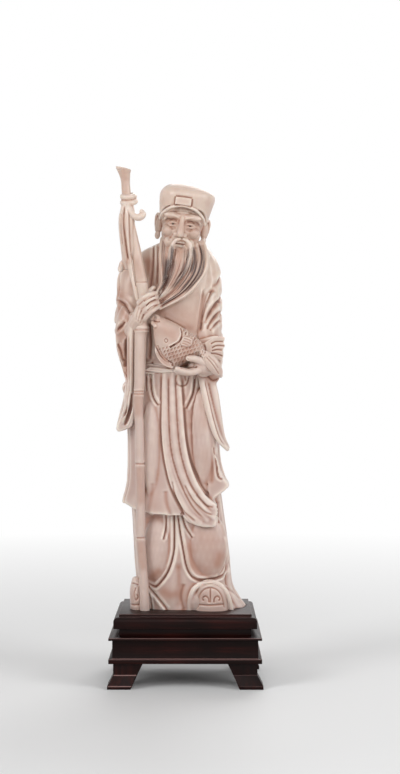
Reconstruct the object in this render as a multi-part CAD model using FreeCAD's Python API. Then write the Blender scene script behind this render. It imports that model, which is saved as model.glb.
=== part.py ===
import FreeCAD, Part
import math
import os

# A standing sage with a staff and a carp, carved in sections and pegged together,
# on a small stepped stand of dark hardwood. Millimetres, +Z up, the viewer's right
# is +X, the figure faces -Y. The origin is on the floor under the stand's middle.

# Stand, outside sizes and the height of each layer
stand_width = 73.8
stand_depth = 62.8
foot_height = 12.2
lower_flange_height = 2.2
plinth_face_height = 8.9
upper_flange_height = 1.2
waist_height = 4.1
board_height = 5.4
seat_height = 1.4

# Stand, steps in and widths of its members
flange_projection = 1.8
plinth_rail_width = 12.0
waist_inset = 5.0
waist_rail_width = 8.0
board_inset = 2.3
board_edge_radius = 2.0
seat_inset = 2.6
panel_thickness = 4.0

# Feet: each is a corner bracket that flares outward at the floor
foot_top_inset = 2.2
foot_flare_height = 6.5
foot_pad_height = 1.5
foot_pad_projection = 0.6
foot_top_length = 14.4
foot_pad_length = 11.3
foot_wing_thickness = 6.4

# Dowels of the stand and the two pegs under the figure
dowel_diameter = 3.0
dowel_depth = 5.5
foot_dowel_inset = 5.4
figure_peg_diameter = 5.0
figure_peg_spacing = 22.0
figure_peg_board_depth = 5.0
figure_peg_height = 8.0
figure_peg_clearance = 0.3

# Figure: the axis of the body and the outside sizes that its blocks follow
axis_x = -4.0
axis_y = 3.0
body_width = 46.0
body_depth = 36.0
lower_robe_height = 50.6
hem_lap = 4.0
tunic_height = 66.0
torso_height = 64.0
fold_width = 3.0
sash_strand_width = 3.8

# Sleeves
right_sleeve_width = 17.0
left_sleeve_width = 18.0
sleeve_depth = 31.0
right_sleeve_height = 87.0
left_sleeve_height = 63.0
sleeve_tail_width = 12.0
sleeve_tail_depth = 13.0
sleeve_tail_height = 40.0

# Head, cap and beard
head_width = 23.0
head_depth = 27.0
head_height = 32.0
chin_lap = 5.0
head_tilt_angle = 8.0
ear_width = 5.0
ear_depth = 6.0
ear_height = 11.5
cap_width = 27.2
cap_depth = 30.0
cap_height = 17.5
cap_lap = 14.5
plaque_width = 7.6
plaque_height = 3.4
plaque_thickness = 1.2
eye_inlay_diameter = 1.5
eye_inlay_length = 5.0
eye_spacing = 8.6
beard_width = 22.0
beard_depth = 11.0
beard_length = 32.0

# Hands, carp and shoes
right_hand_width = 13.0
right_hand_depth = 14.0
right_hand_height = 20.0
left_hand_width = 15.0
left_hand_depth = 12.0
left_hand_height = 10.0
carp_length = 39.0
carp_height = 17.6
carp_thickness = 10.5
carp_slope_angle = 27.0
left_shoe_width = 16.5
left_shoe_length = 15.0
left_shoe_height = 13.5
right_shoe_width = 9.0
right_shoe_length = 13.0
right_shoe_height = 15.0

# Staff, its cloth bundle and the knotted cord
staff_diameter = 6.2
staff_height = 217.8
staff_neck_diameter = 4.6
staff_top_diameter = 8.2
bundle_width = 9.0
bundle_depth = 10.0
bundle_height = 42.0
cord_diameter = 2.9
cord_pitch = 2.4
cord_hook_radius = 3.2

# Pegs hidden inside the figure
body_peg_diameter = 5.0
body_peg_length = 16.0
neck_peg_length = 14.0
small_peg_diameter = 2.0
small_peg_length = 7.0
staff_peg_diameter = 2.2
staff_peg_length = 12.0

# Allowances shared by the cuts
overrun = 1.0

# Heights of the stand's layers above the floor
plinth_base = foot_height
plinth_height = lower_flange_height + plinth_face_height + upper_flange_height
waist_base = plinth_base + plinth_height
board_base = waist_base + waist_height
board_top = board_base + board_height
figure_base = board_top + seat_height

# Heights of the figure's blocks
tunic_base = figure_base + lower_robe_height
torso_base = tunic_base + tunic_height
torso_top = torso_base + torso_height
head_base = torso_top - chin_lap

# A row of each table is the height of a section, then how far it reaches to the left,
# to the right, to the front and to the back, all as shares of the block's own sizes.
section_points = 20
section_power = 2.5
lower_robe_shares = (
    (0.00, -0.50, 0.73, -0.44, 0.55),
    (0.13, -0.51, 0.63, -0.46, 0.53),
    (0.26, -0.49, 0.58, -0.44, 0.50),
    (0.50, -0.465, 0.555, -0.43, 0.49),
    (0.76, -0.48, 0.52, -0.43, 0.47),
    (1.00, -0.485, 0.49, -0.42, 0.46),
)
tunic_shares = (
    (0.00, -0.53, 0.51, -0.50, 0.53),
    (0.13, -0.56, 0.53, -0.53, 0.54),
    (0.33, -0.53, 0.48, -0.51, 0.53),
    (0.61, -0.50, 0.45, -0.49, 0.50),
    (0.83, -0.48, 0.41, -0.46, 0.46),
    (1.00, -0.478, 0.395, -0.44, 0.43),
)
# The main folds of the two skirts. A row is the low end of a fold and then its high end:
# across, deep and up, as shares of the body's width and depth and of the block's height.
tunic_fold_shares = (
    (-0.228, -0.445, 0.78, -0.287, -0.395, 0.99),
    (0.103, -0.465, 0.75, 0.200, -0.440, 0.99),
    (0.433, -0.307, 0.26, 0.385, -0.319, 0.49),
    (0.348, 0.440, 0.01, 0.293, 0.320, 0.99),
    (0.065, 0.530, 0.01, 0.098, 0.421, 0.99),
    (-0.228, 0.508, 0.01, -0.087, 0.430, 0.99),
    (-0.467, 0.329, 0.01, -0.272, 0.393, 0.99),
    (0.441, -0.347, 0.06, 0.375, -0.264, 0.96),
    (0.515, 0.014, 0.01, 0.395, -0.040, 0.98),
    (0.445, 0.333, 0.01, 0.370, 0.181, 0.98),
    (-0.540, 0.181, 0.06, -0.469, 0.097, 0.96),
    (-0.516, -0.181, 0.01, -0.468, -0.125, 0.98),
)
robe_fold_shares = (
    (-0.038, -0.430, 0.55, -0.030, -0.417, 0.99),
    (-0.244, -0.402, 0.23, -0.038, -0.430, 0.55),
    (0.098, -0.427, 0.43, -0.004, -0.418, 0.99),
    (0.231, -0.421, 0.29, 0.098, -0.427, 0.43),
    (0.231, -0.421, 0.29, 0.433, -0.329, 0.31),
    (0.433, -0.329, 0.31, 0.540, -0.126, 0.51),
    (-0.148, -0.420, 0.67, -0.121, -0.410, 0.97),
    (0.167, -0.427, 0.69, 0.044, -0.413, 0.93),
    (-0.111, -0.432, 0.01, -0.313, -0.366, 0.24),
    (0.522, 0.464, 0.01, 0.326, 0.373, 0.93),
    (0.130, 0.551, 0.01, 0.130, 0.438, 0.93),
    (-0.217, 0.507, 0.01, -0.065, 0.444, 0.93),
    (-0.391, 0.397, 0.01, -0.261, 0.407, 0.93),
    (0.593, -0.306, 0.01, 0.439, -0.222, 0.93),
    (0.714, 0.167, 0.01, 0.489, 0.042, 0.93),
    (0.586, 0.417, 0.01, 0.414, 0.292, 0.93),
    (-0.500, 0.139, 0.01, -0.487, 0.056, 0.93),
    (-0.336, -0.333, 0.01, -0.447, -0.208, 0.93),
)
# The main folds of the two sleeves, as rows of the same kind on the height of the torso.
right_sleeve_fold_shares = (
    (-0.665, -0.167, 0.477, -0.614, 0.222, 0.664),
    (-0.474, -0.586, 0.424, -0.656, -0.101, 0.564),
    (-0.548, -0.435, 0.391, -0.669, -0.194, 0.383),
    (-0.669, -0.194, 0.383, -0.653, 0.150, 0.350),
    (-0.555, -0.278, -0.086, -0.603, 0.111, 0.086),
    (-0.618, -0.250, 0.086, -0.663, 0.111, 0.273),
    (-0.581, -0.389, -0.250, -0.604, -0.250, 0.055),
    (-0.653, -0.333, -0.430, -0.592, -0.111, 0.008),
    (-0.558, -0.422, 0.037, -0.526, -0.542, 0.273),
    (-0.584, -0.424, 0.076, -0.630, -0.417, 0.240),
    (-0.647, -0.139, 0.586, -0.567, -0.028, 0.867),
)
left_sleeve_fold_shares = (
    (0.389, -0.278, 0.664, 0.463, -0.028, 0.750),
    (0.463, -0.028, 0.750, 0.427, 0.194, 0.805),
    (0.425, -0.250, 0.555, 0.466, 0.028, 0.617),
    (0.466, 0.028, 0.617, 0.382, 0.278, 0.648),
    (0.456, -0.222, 0.445, 0.467, 0.056, 0.484),
    (0.480, -0.194, 0.328, 0.450, 0.056, 0.336),
    (0.493, -0.306, 0.164, 0.480, 0.056, 0.180),
    (0.471, -0.278, 0.023, 0.470, 0.111, 0.039),
    (0.250, -0.410, 0.303, 0.285, -0.335, 0.463),
    (0.285, -0.335, 0.463, 0.394, -0.253, 0.654),
    (0.290, -0.409, 0.362, 0.456, -0.139, 0.561),
    (0.301, -0.420, 0.319, 0.458, -0.191, 0.498),
    (0.510, -0.463, -0.560, 0.283, -0.627, -0.030),
)
# The falling end of the sash: up, the middle strand, how far apart the strands lie, and
# the front and the back of each strand.
sash_shares = (
    (-0.045, 0.322, 0.070, -0.562, -0.440),
    (0.075, 0.215, 0.100, -0.575, -0.400),
    (0.25, 0.071, 0.100, -0.570, -0.380),
    (0.53, -0.037, 0.092, -0.535, -0.360),
    (1.00, -0.052, 0.074, -0.470, -0.340),
)
torso_shares = (
    (0.00, -0.478, 0.395, -0.44, 0.43),
    (0.20, -0.478, 0.42, -0.46, 0.47),
    (0.44, -0.50, 0.445, -0.44, 0.50),
    (0.67, -0.49, 0.455, -0.40, 0.485),
    (0.83, -0.41, 0.40, -0.35, 0.43),
    (0.92, -0.28, 0.29, -0.28, 0.31),
    (1.00, -0.13, 0.20, -0.19, 0.17),
)
right_sleeve_shares = (
    (0.00, -0.41, -0.03, -0.484, 0.065),
    (0.13, -0.294, 0.10, -0.526, 0.19),
    (0.30, -0.235, 0.12, -0.603, 0.194),
    (0.47, -0.435, 0.47, -0.661, 0.213),
    (0.59, -0.512, 0.535, -0.68, 0.277),
    (0.66, -0.50, 0.547, -0.60, 0.306),
    (0.74, -0.465, 0.576, -0.403, 0.33),
    (0.85, -0.441, 0.618, -0.345, 0.371),
    (0.94, -0.265, 0.70, -0.258, 0.323),
    (1.00, 0.12, 0.70, -0.16, 0.194),
)
left_sleeve_shares = (
    (0.00, -0.66, -0.04, -0.70, 0.05),
    (0.14, -0.80, 0.09, -0.76, 0.13),
    (0.24, -0.80, 0.122, -0.671, 0.142),
    (0.32, -0.82, 0.111, -0.577, 0.20),
    (0.42, -0.83, 0.083, -0.477, 0.265),
    (0.70, -0.72, 0.083, -0.371, 0.339),
    (0.86, -0.70, 0.044, -0.326, 0.348),
    (1.00, -0.76, -0.36, -0.20, 0.16),
)
sleeve_tail_shares = (
    (0.00, 0.88, 1.08, -0.60, -0.20),
    (0.22, 0.38, 0.82, -0.78, 0.00),
    (0.55, 0.05, 0.62, -0.90, 0.20),
    (1.00, -0.20, 0.42, -0.95, 0.40),
)
head_shares = (
    (0.00, -0.22, 0.22, -0.30, 0.18),
    (0.15, -0.38, 0.38, -0.42, 0.38),
    (0.35, -0.48, 0.48, -0.48, 0.47),
    (0.55, -0.50, 0.50, -0.50, 0.50),
    (0.80, -0.42, 0.42, -0.40, 0.43),
    (1.00, -0.16, 0.16, -0.15, 0.15),
)
cap_shares = (
    (0.00, -0.47, 0.46, -0.48, 0.45),
    (0.40, -0.46, 0.47, -0.49, 0.48),
    (0.75, -0.48, 0.50, -0.50, 0.50),
    (1.00, -0.38, 0.38, -0.40, 0.42),
)
beard_shares = (
    (0.00, -0.41, -0.25, -0.42, -0.06),
    (0.20, -0.48, -0.02, -0.50, 0.15),
    (0.45, -0.54, 0.27, -0.60, 0.35),
    (0.72, -0.49, 0.49, -0.55, 0.50),
    (1.00, -0.36, 0.43, -0.40, 0.50),
)
carp_shares = (
    (0.00, -0.10, 0.10, -0.18, 0.18),
    (0.12, -0.38, 0.34, -0.38, 0.38),
    (0.30, -0.50, 0.50, -0.50, 0.50),
    (0.50, -0.46, 0.46, -0.45, 0.45),
    (0.68, -0.28, 0.26, -0.25, 0.25),
    (0.76, -0.22, 0.22, -0.18, 0.18),
    (1.00, -0.55, 0.45, -0.10, 0.10),
)
oval_shares = (
    (0.00, -0.20, 0.20, -0.20, 0.20),
    (0.20, -0.42, 0.42, -0.42, 0.42),
    (0.50, -0.50, 0.50, -0.50, 0.50),
    (0.80, -0.42, 0.42, -0.42, 0.42),
    (1.00, -0.20, 0.20, -0.20, 0.20),
)
shoe_shares = (
    (0.00, -0.50, 0.50, -0.50, 0.50),
    (0.40, -0.47, 0.47, -0.46, 0.50),
    (0.75, -0.36, 0.36, -0.34, 0.50),
    (1.00, -0.15, 0.15, -0.10, 0.50),
)
bundle_shares = (
    (0.00, 0.10, 0.50, -0.20, 0.30),
    (0.25, -0.32, 0.42, -0.40, 0.40),
    (0.50, -0.45, 0.42, -0.48, 0.48),
    (0.75, -0.50, 0.45, -0.50, 0.50),
    (0.93, -0.32, 0.40, -0.40, 0.40),
    (1.00, -0.20, 0.34, -0.30, 0.30),
)

# Where the pieces sit on the body: across as a share of its width from the axis,
# deep as a share of its depth from the axis, up as a share of the block's height.
right_flank_share = -0.50
left_flank_share = 0.45
right_sleeve_foot_share = -0.424
left_sleeve_drop_share = 0.075625
tail_root_share = 0.30
tail_depth_share = -0.30
tail_foot_share = -0.61
head_across_share = 0.06
head_forward_share = -0.17
ear_level_share = 0.42
ear_side_share = 0.52
cap_across_share = -0.02
cap_forward_share = 0.02
plaque_level_share = 0.42
eye_level_share = 0.52
beard_across_share = -0.02
beard_forward_share = -0.46
right_hand_across_share = -0.345
right_hand_forward_share = -0.55
right_hand_level_share = 0.49
left_hand_across_share = 0.15
left_hand_forward_share = -0.62
left_hand_level_share = 0.06
carp_snout_across_share = -0.25
carp_forward_share = -0.57
carp_snout_level_share = 0.40
left_shoe_across_share = 0.365
left_shoe_forward_share = -0.36
right_shoe_across_share = -0.42
right_shoe_forward_share = -0.22
bundle_across_share = -0.51
bundle_forward_share = -0.48

# The staff's line: height as a share of the staff's full height, then across and
# deep as shares of the body, and the diameter as a share of the staff's diameter.
lower_staff_shares = (
    (0.000, -0.348, -0.445, 0.92),
    (0.14, -0.392, -0.458, 0.86),
    (0.32, -0.398, -0.478, 0.92),
    (0.46, -0.410, -0.500, 1.06),
    (0.58, -0.394, -0.530, 1.02),
    (0.690, -0.370, -0.545, 0.98),
)
upper_staff_shares = (
    (0.690, -0.370, -0.545, 0.98),
    (0.78, -0.425, -0.525, 0.86),
    (0.92, -0.535, -0.500, 0.74),
)
cord_level_share = 0.905
cord_hook_turn_angle = 200.0


def section(level, left, right, front, back):
    """A closed rounded outline at one height, between its four outermost reaches."""
    middle_x = (left + right) / 2
    middle_y = (front + back) / 2
    reach_x = (right - left) / 2
    reach_y = (back - front) / 2
    points = []
    for index in range(section_points):
        angle = 2 * math.pi * index / section_points
        across = math.cos(angle)
        deep = math.sin(angle)
        x = middle_x + reach_x * math.copysign(abs(across) ** (2 / section_power), across)
        y = middle_y + reach_y * math.copysign(abs(deep) ** (2 / section_power), deep)
        points.append(FreeCAD.Vector(x, y, level))
    curve = Part.BSplineCurve()
    curve.interpolate(Points=points, PeriodicFlag=True)
    return Part.Wire([curve.toShape()])


def block(place, size, rows):
    """A closed solid through rounded outlines stacked on a place, from a table of shares."""
    width, depth, height = size
    wires = []
    for up, left, right, front, back in rows:
        wires.append(section(
            place[2] + up * height,
            place[0] + left * width,
            place[0] + right * width,
            place[1] + front * depth,
            place[1] + back * depth,
        ))
    return Part.makeLoft(wires, True, False)


def on_body(across_share, deep_share, level):
    """A place on the body, from shares of its width and depth and a height."""
    return (axis_x + across_share * body_width, axis_y + deep_share * body_depth, level)


def rod(diameter, length, place, direction):
    """A round peg of one diameter, centred on a place and lying along a direction."""
    middle = FreeCAD.Vector(*place)
    along = FreeCAD.Vector(*direction)
    along.normalize()
    return Part.makeCylinder(diameter / 2, length, middle - along * (length / 2), along)


def largest(shape):
    """The largest solid of a shape."""
    return max(shape.Solids, key=lambda solid: solid.Volume)


def fitted(shape, *others):
    """What is left of a piece after its neighbours have taken their seats in it."""
    return largest(shape.cut(list(others)))


def mitred_rail(profile, half_length, half_depth, turns):
    """One side of a mitred frame, from a profile of insets and heights, turned in place."""
    outline = []
    for inset, level in profile:
        outline.append(FreeCAD.Vector(-half_length, inset - half_depth, level))
    outline.append(outline[0])
    bar = Part.Face(Part.makePolygon(outline)).extrude(FreeCAD.Vector(2 * half_length, 0, 0))
    low = min(level for inset, level in profile)
    high = max(level for inset, level in profile)
    reach = max(inset for inset, level in profile)
    plan = [
        FreeCAD.Vector(-half_length, -half_depth, low),
        FreeCAD.Vector(half_length, -half_depth, low),
        FreeCAD.Vector(half_length - reach, reach - half_depth, low),
        FreeCAD.Vector(reach - half_length, reach - half_depth, low),
    ]
    plan.append(plan[0])
    mitres = Part.Face(Part.makePolygon(plan)).extrude(FreeCAD.Vector(0, 0, high - low))
    rail = bar.common(mitres)
    rail.rotate(FreeCAD.Vector(0, 0, 0), FreeCAD.Vector(0, 0, 1), 90 * turns)
    return rail


def mitred_frame(profile):
    """The four sides of a frame around the stand: front, right, back and left."""
    half_width = stand_width / 2
    half_depth = stand_depth / 2
    return [
        mitred_rail(profile, half_width, half_depth, 0),
        mitred_rail(profile, half_depth, half_width, 1),
        mitred_rail(profile, half_width, half_depth, 2),
        mitred_rail(profile, half_depth, half_width, 3),
    ]


def make_plinth_rails():
    """Four moulded rails with a flange along the bottom and another along the top."""
    face_base = plinth_base + lower_flange_height
    face_top = face_base + plinth_face_height
    top = plinth_base + plinth_height
    profile = (
        (0, plinth_base),
        (0, face_base),
        (flange_projection, face_base),
        (flange_projection, face_top),
        (0, face_top),
        (0, top),
        (plinth_rail_width, top),
        (plinth_rail_width, plinth_base),
    )
    return mitred_frame(profile)


def make_waist_rails():
    """Four plain rails set back between the plinth and the top board."""
    inner = waist_inset + waist_rail_width
    profile = (
        (waist_inset, waist_base),
        (waist_inset, board_base),
        (inner, board_base),
        (inner, waist_base),
    )
    return mitred_frame(profile)


def make_plinth_panel():
    """The flat panel that closes the plinth inside its rails."""
    width = stand_width - 2 * plinth_rail_width
    depth = stand_depth - 2 * plinth_rail_width
    corner = FreeCAD.Vector(-width / 2, -depth / 2, waist_base - panel_thickness)
    return Part.makeBox(width, depth, panel_thickness, corner)


def make_top_board():
    """The top board with a rounded upper edge and the low seat that the figure stands on."""
    width = stand_width - 2 * board_inset
    depth = stand_depth - 2 * board_inset
    board = Part.makeBox(width, depth, board_height, FreeCAD.Vector(-width / 2, -depth / 2, board_base))
    rim = []
    for edge in board.Edges:
        box = edge.BoundBox
        if min(box.ZMin, box.ZMax) > board_base + board_height / 2:
            rim.append(edge)
    board = board.makeFillet(min(board_edge_radius, board_height / 2), rim)
    seat_width = width - 2 * seat_inset
    seat_depth = depth - 2 * seat_inset
    corner = FreeCAD.Vector(-seat_width / 2, -seat_depth / 2, board_top - board_height / 2)
    seat = Part.makeBox(seat_width, seat_depth, seat_height + board_height / 2, corner)
    return board.fuse(seat).removeSplitter()


def foot_profile(half_span):
    """The outline of a foot seen square on: upright, then flaring out to a thin pad."""
    outer = half_span - foot_top_inset
    pad = half_span + foot_pad_projection
    return (
        (outer, foot_height),
        (outer, foot_flare_height),
        (pad, foot_pad_height),
        (pad, 0),
        (pad - foot_pad_length, 0),
        (outer - foot_top_length, foot_height),
    )


def make_foot(side_x, side_y):
    """A corner bracket foot, the shape common to its front and its side outline."""
    reach = stand_width + stand_depth
    front = []
    for out, level in foot_profile(stand_width / 2):
        front.append(FreeCAD.Vector(side_x * out, -reach, level))
    front.append(front[0])
    side = []
    for out, level in foot_profile(stand_depth / 2):
        side.append(FreeCAD.Vector(-reach, side_y * out, level))
    side.append(side[0])
    across = Part.Face(Part.makePolygon(front)).extrude(FreeCAD.Vector(0, 2 * reach, 0))
    deep = Part.Face(Part.makePolygon(side)).extrude(FreeCAD.Vector(2 * reach, 0, 0))
    foot = across.common(deep)
    inner_x = stand_width / 2 - foot_top_inset - foot_wing_thickness
    inner_y = stand_depth / 2 - foot_top_inset - foot_wing_thickness
    hollow = Part.makeBox(
        inner_x,
        inner_y,
        foot_height + 2 * overrun,
        FreeCAD.Vector(min(0, side_x * inner_x), min(0, side_y * inner_y), -overrun),
    )
    return largest(foot.cut(hollow))


def corner_places(inset, level):
    """The four places at one inset from the stand's corners, at one height."""
    x = stand_width / 2 - inset
    y = stand_depth / 2 - inset
    return [(-x, -y, level), (x, -y, level), (x, y, level), (-x, y, level)]


def make_corner_dowels(inset, base, top):
    """Four upright dowels that pin the layers of the stand at its corners."""
    length = top - base
    middle = (top + base) / 2
    dowels = []
    for place in corner_places(inset, middle):
        dowels.append(rod(dowel_diameter, length, place, (0, 0, 1)))
    return dowels


def figure_peg_places():
    """Where the two pegs under the figure stand, either side of the body's axis."""
    half = figure_peg_spacing / 2
    return [(axis_x - half, axis_y), (axis_x + half, axis_y)]


def make_figure_pegs(growth):
    """The two pegs that the figure lifts off, or their sockets when they are grown."""
    length = figure_peg_board_depth + figure_peg_height + 2 * growth
    level = figure_base + (figure_peg_height - figure_peg_board_depth) / 2
    pegs = []
    for x, y in figure_peg_places():
        pegs.append(rod(figure_peg_diameter + 2 * growth, length, (x, y, level), (0, 0, 1)))
    return pegs


def make_lower_robe():
    """The long under-robe that flares to the base."""
    size = (body_width, body_depth, lower_robe_height)
    return block((axis_x, axis_y, figure_base), size, lower_robe_shares)


def make_tunic():
    """The knee-length tunic from its hem to the belt, with the strands of the sash."""
    size = (body_width, body_depth, tunic_height + hem_lap)
    place = (axis_x, axis_y, tunic_base - hem_lap)
    half = sash_strand_width / body_width / 2
    strands = []
    for side in (-1, 0, 1):
        rows = []
        for up, middle, spacing, front, back in sash_shares:
            centre = middle + side * spacing
            rows.append((up, centre - half, centre + half, front, back))
        strands.append(block(place, size, rows))
    return largest(block(place, size, tunic_shares).fuse(strands))


def fold_cutters(base, height, rows):
    """Round cutters laid into the sides of a block along its main folds."""
    cutters = []
    for row in rows:
        low = FreeCAD.Vector(*on_body(row[0], row[1], base + row[2] * height))
        high = FreeCAD.Vector(*on_body(row[3], row[4], base + row[5] * height))
        length = low.distanceToPoint(high)
        cutters.append(rod(fold_width, length, (low + high) / 2, high - low))
    return cutters


def make_torso():
    """The chest, shoulders and neck above the belt."""
    size = (body_width, body_depth, torso_height)
    return block((axis_x, axis_y, torso_base), size, torso_shares)


def make_right_sleeve():
    """The wide sleeve of the arm that holds the staff, with its hanging tip."""
    level = torso_base + right_sleeve_foot_share * tunic_height
    size = (right_sleeve_width, sleeve_depth, right_sleeve_height)
    return block(on_body(right_flank_share, 0, level), size, right_sleeve_shares)


def make_left_sleeve():
    """The sleeve of the arm under the carp, with its long hanging tail."""
    level = torso_top - left_sleeve_drop_share * torso_height - left_sleeve_height
    size = (left_sleeve_width, sleeve_depth, left_sleeve_height)
    sleeve = block(on_body(left_flank_share, 0, level), size, left_sleeve_shares)
    root = on_body(tail_root_share, tail_depth_share, torso_base + tail_foot_share * torso_height)
    tail_size = (sleeve_tail_width, sleeve_tail_depth, sleeve_tail_height)
    tail = block(root, tail_size, sleeve_tail_shares)
    return largest(sleeve.fuse(tail))


def tilt_head(shape):
    """Lean a piece of the head sideways about the middle of the neck."""
    pivot = FreeCAD.Vector(*head_place())
    shape.rotate(pivot, FreeCAD.Vector(0, 1, 0), head_tilt_angle)
    return shape


def head_place():
    """The middle of the head's underside."""
    return on_body(head_across_share, head_forward_share, head_base)


def make_head():
    """The head as an oval with an ear on each side."""
    x, y, z = head_place()
    head = block((x, y, z), (head_width, head_depth, head_height), head_shares)
    ears = []
    for side in (-1, 1):
        ear_base = z + ear_level_share * head_height - ear_height / 2
        place = (x + side * ear_side_share * head_width, y, ear_base)
        ears.append(block(place, (ear_width, ear_depth, ear_height), oval_shares))
    return tilt_head(largest(head.fuse(ears)))


def make_cap():
    """The scholar's cap, wider at the crown, with a raised plaque at the front."""
    x, y, z = head_place()
    base = z + head_height - cap_lap
    place = (x + cap_across_share * cap_width, y + cap_forward_share * cap_depth, base)
    cap = block(place, (cap_width, cap_depth, cap_height), cap_shares)
    front = place[1] - cap_depth / 2 - plaque_thickness / 2
    corner = FreeCAD.Vector(place[0] - plaque_width / 2, front, base + plaque_level_share * cap_height)
    plaque = Part.makeBox(plaque_width, plaque_thickness + cap_depth / 2, plaque_height, corner)
    return tilt_head(largest(cap.fuse(plaque)))


def make_eye_rods():
    """Two round rods through the front of the face, from which the pupils are cut."""
    x, y, z = head_place()
    rods = []
    for side in (-1, 1):
        place = (x + side * eye_spacing / 2, y - head_depth / 2, z + eye_level_share * head_height)
        rods.append(tilt_head(rod(eye_inlay_diameter, eye_inlay_length, place, (0, 1, 0))))
    return rods


def make_beard():
    """The long beard, a tongue that hangs from the chin over the chest."""
    place = on_body(beard_across_share, beard_forward_share, torso_top - beard_length)
    return block(place, (beard_width, beard_depth, beard_length), beard_shares)


def make_right_hand():
    """The fist closed round the staff."""
    level = torso_base + right_hand_level_share * torso_height - right_hand_height / 2
    place = on_body(right_hand_across_share, right_hand_forward_share, level)
    return block(place, (right_hand_width, right_hand_depth, right_hand_height), oval_shares)


def make_left_hand():
    """The open hand that carries the carp from below."""
    level = torso_base + left_hand_level_share * torso_height - left_hand_height / 2
    place = on_body(left_hand_across_share, left_hand_forward_share, level)
    return block(place, (left_hand_width, left_hand_depth, left_hand_height), oval_shares)


def carp_snout():
    """The tip of the carp's snout."""
    level = torso_base + carp_snout_level_share * torso_height
    return on_body(carp_snout_across_share, carp_forward_share, level)


def make_carp():
    """The carp, from its snout down to a fanned tail at the crook of the arm."""
    place = carp_snout()
    carp = block(place, (carp_height, carp_thickness, carp_length), carp_shares)
    carp.rotate(FreeCAD.Vector(*place), FreeCAD.Vector(0, 1, 0), 90 + carp_slope_angle)
    return carp


def make_shoe(place, size):
    """The domed toe of a shoe that shows under the robe."""
    return block(place, size, shoe_shares)


def make_staff(rows, flared):
    """A run of the staff through round outlines, with a flared top if it has one."""
    wires = []
    places = []
    for up, across, deep, width in rows:
        place = on_body(across, deep, figure_base + up * staff_height)
        places.append((place, width * staff_diameter))
    if flared:
        lower, upper = places[-2][0], places[-1][0]
        rise = figure_base + staff_height - upper[2]
        lean_x = (upper[0] - lower[0]) / (upper[2] - lower[2])
        lean_y = (upper[1] - lower[1]) / (upper[2] - lower[2])
        neck = (upper[0] + lean_x * rise / 2, upper[1] + lean_y * rise / 2, upper[2] + rise / 2)
        top = (upper[0] + lean_x * rise, upper[1] + lean_y * rise, upper[2] + rise)
        places.append((neck, staff_neck_diameter))
        places.append((top, staff_top_diameter))
    for place, diameter in places:
        circle = Part.Circle(FreeCAD.Vector(*place), FreeCAD.Vector(0, 0, 1), diameter / 2)
        wires.append(Part.Wire([circle.toShape()]))
    return Part.makeLoft(wires, True, False)


def staff_point(share):
    """The middle of the upper staff at one share of the staff's height."""
    last = upper_staff_shares[-1]
    before = upper_staff_shares[-2]
    run = (share - before[0]) / (last[0] - before[0])
    across = before[1] + run * (last[1] - before[1])
    deep = before[2] + run * (last[2] - before[2])
    return on_body(across, deep, figure_base + share * staff_height)


def make_bundle():
    """The cloth bundle that hangs along the staff below the cord."""
    top = figure_base + cord_level_share * staff_height
    place = on_body(bundle_across_share, bundle_forward_share, top - bundle_height)
    return block(place, (bundle_width, bundle_depth, bundle_height), bundle_shares)


def make_cord():
    """Two turns of cord round the staff and a loose end that curls up in a hook."""
    x, y, z = staff_point(cord_level_share)
    staff_radius = upper_staff_shares[-1][3] * staff_diameter / 2
    radius = staff_radius + cord_diameter / 4
    turns = []
    for step in (0, 1):
        centre = FreeCAD.Vector(x, y, z + step * cord_pitch)
        turns.append(Part.makeTorus(radius, cord_diameter / 2, centre, FreeCAD.Vector(0, 0, 1)))
    centre = FreeCAD.Vector(x + radius + cord_hook_radius, y, z)
    root = FreeCAD.Vector(x + radius, y, z)
    circle = Part.Circle(root, FreeCAD.Vector(0, 0, 1), cord_diameter / 2)
    face = Part.Face(Part.Wire([circle.toShape()]))
    hook = face.revolve(centre, FreeCAD.Vector(0, -1, 0), cord_hook_turn_angle)
    return largest(turns[0].fuse([turns[1], hook]))


def save(name, shape):
    """Write one piece, or a group of like pieces, to its own file."""
    if isinstance(shape, list):
        shape = Part.makeCompound(shape)
    shape.exportStep("parts/" + name + ".step")


def build_stand():
    """Every piece of the stand, by name."""
    plinth = make_plinth_rails()
    waist = make_waist_rails()
    board = make_top_board()
    feet = [make_foot(-1, -1), make_foot(1, -1), make_foot(1, 1), make_foot(-1, 1)]
    foot_dowels = make_corner_dowels(
        foot_dowel_inset, plinth_base - dowel_depth, plinth_base + dowel_depth
    )
    waist_dowel_inset = waist_inset + waist_rail_width / 2
    waist_dowels = make_corner_dowels(
        waist_dowel_inset, waist_base - dowel_depth, board_base + board_height / 2
    )
    pegs = make_figure_pegs(0)
    pieces = {
        "top_board": fitted(board, *waist_dowels, *pegs),
        "plinth_panel": make_plinth_panel(),
        "foot_dowels": foot_dowels,
        "waist_dowels": waist_dowels,
        "figure_pegs": pegs,
    }
    for index, side in enumerate(("front", "right", "back", "left")):
        pieces["plinth_rail_" + side] = fitted(plinth[index], *foot_dowels, *waist_dowels)
        pieces["waist_rail_" + side] = fitted(waist[index], *waist_dowels)
    corners = ("front_left", "front_right", "back_right", "back_left")
    for index, corner in enumerate(corners):
        pieces["foot_" + corner] = fitted(feet[index], *foot_dowels)
    return pieces


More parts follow.
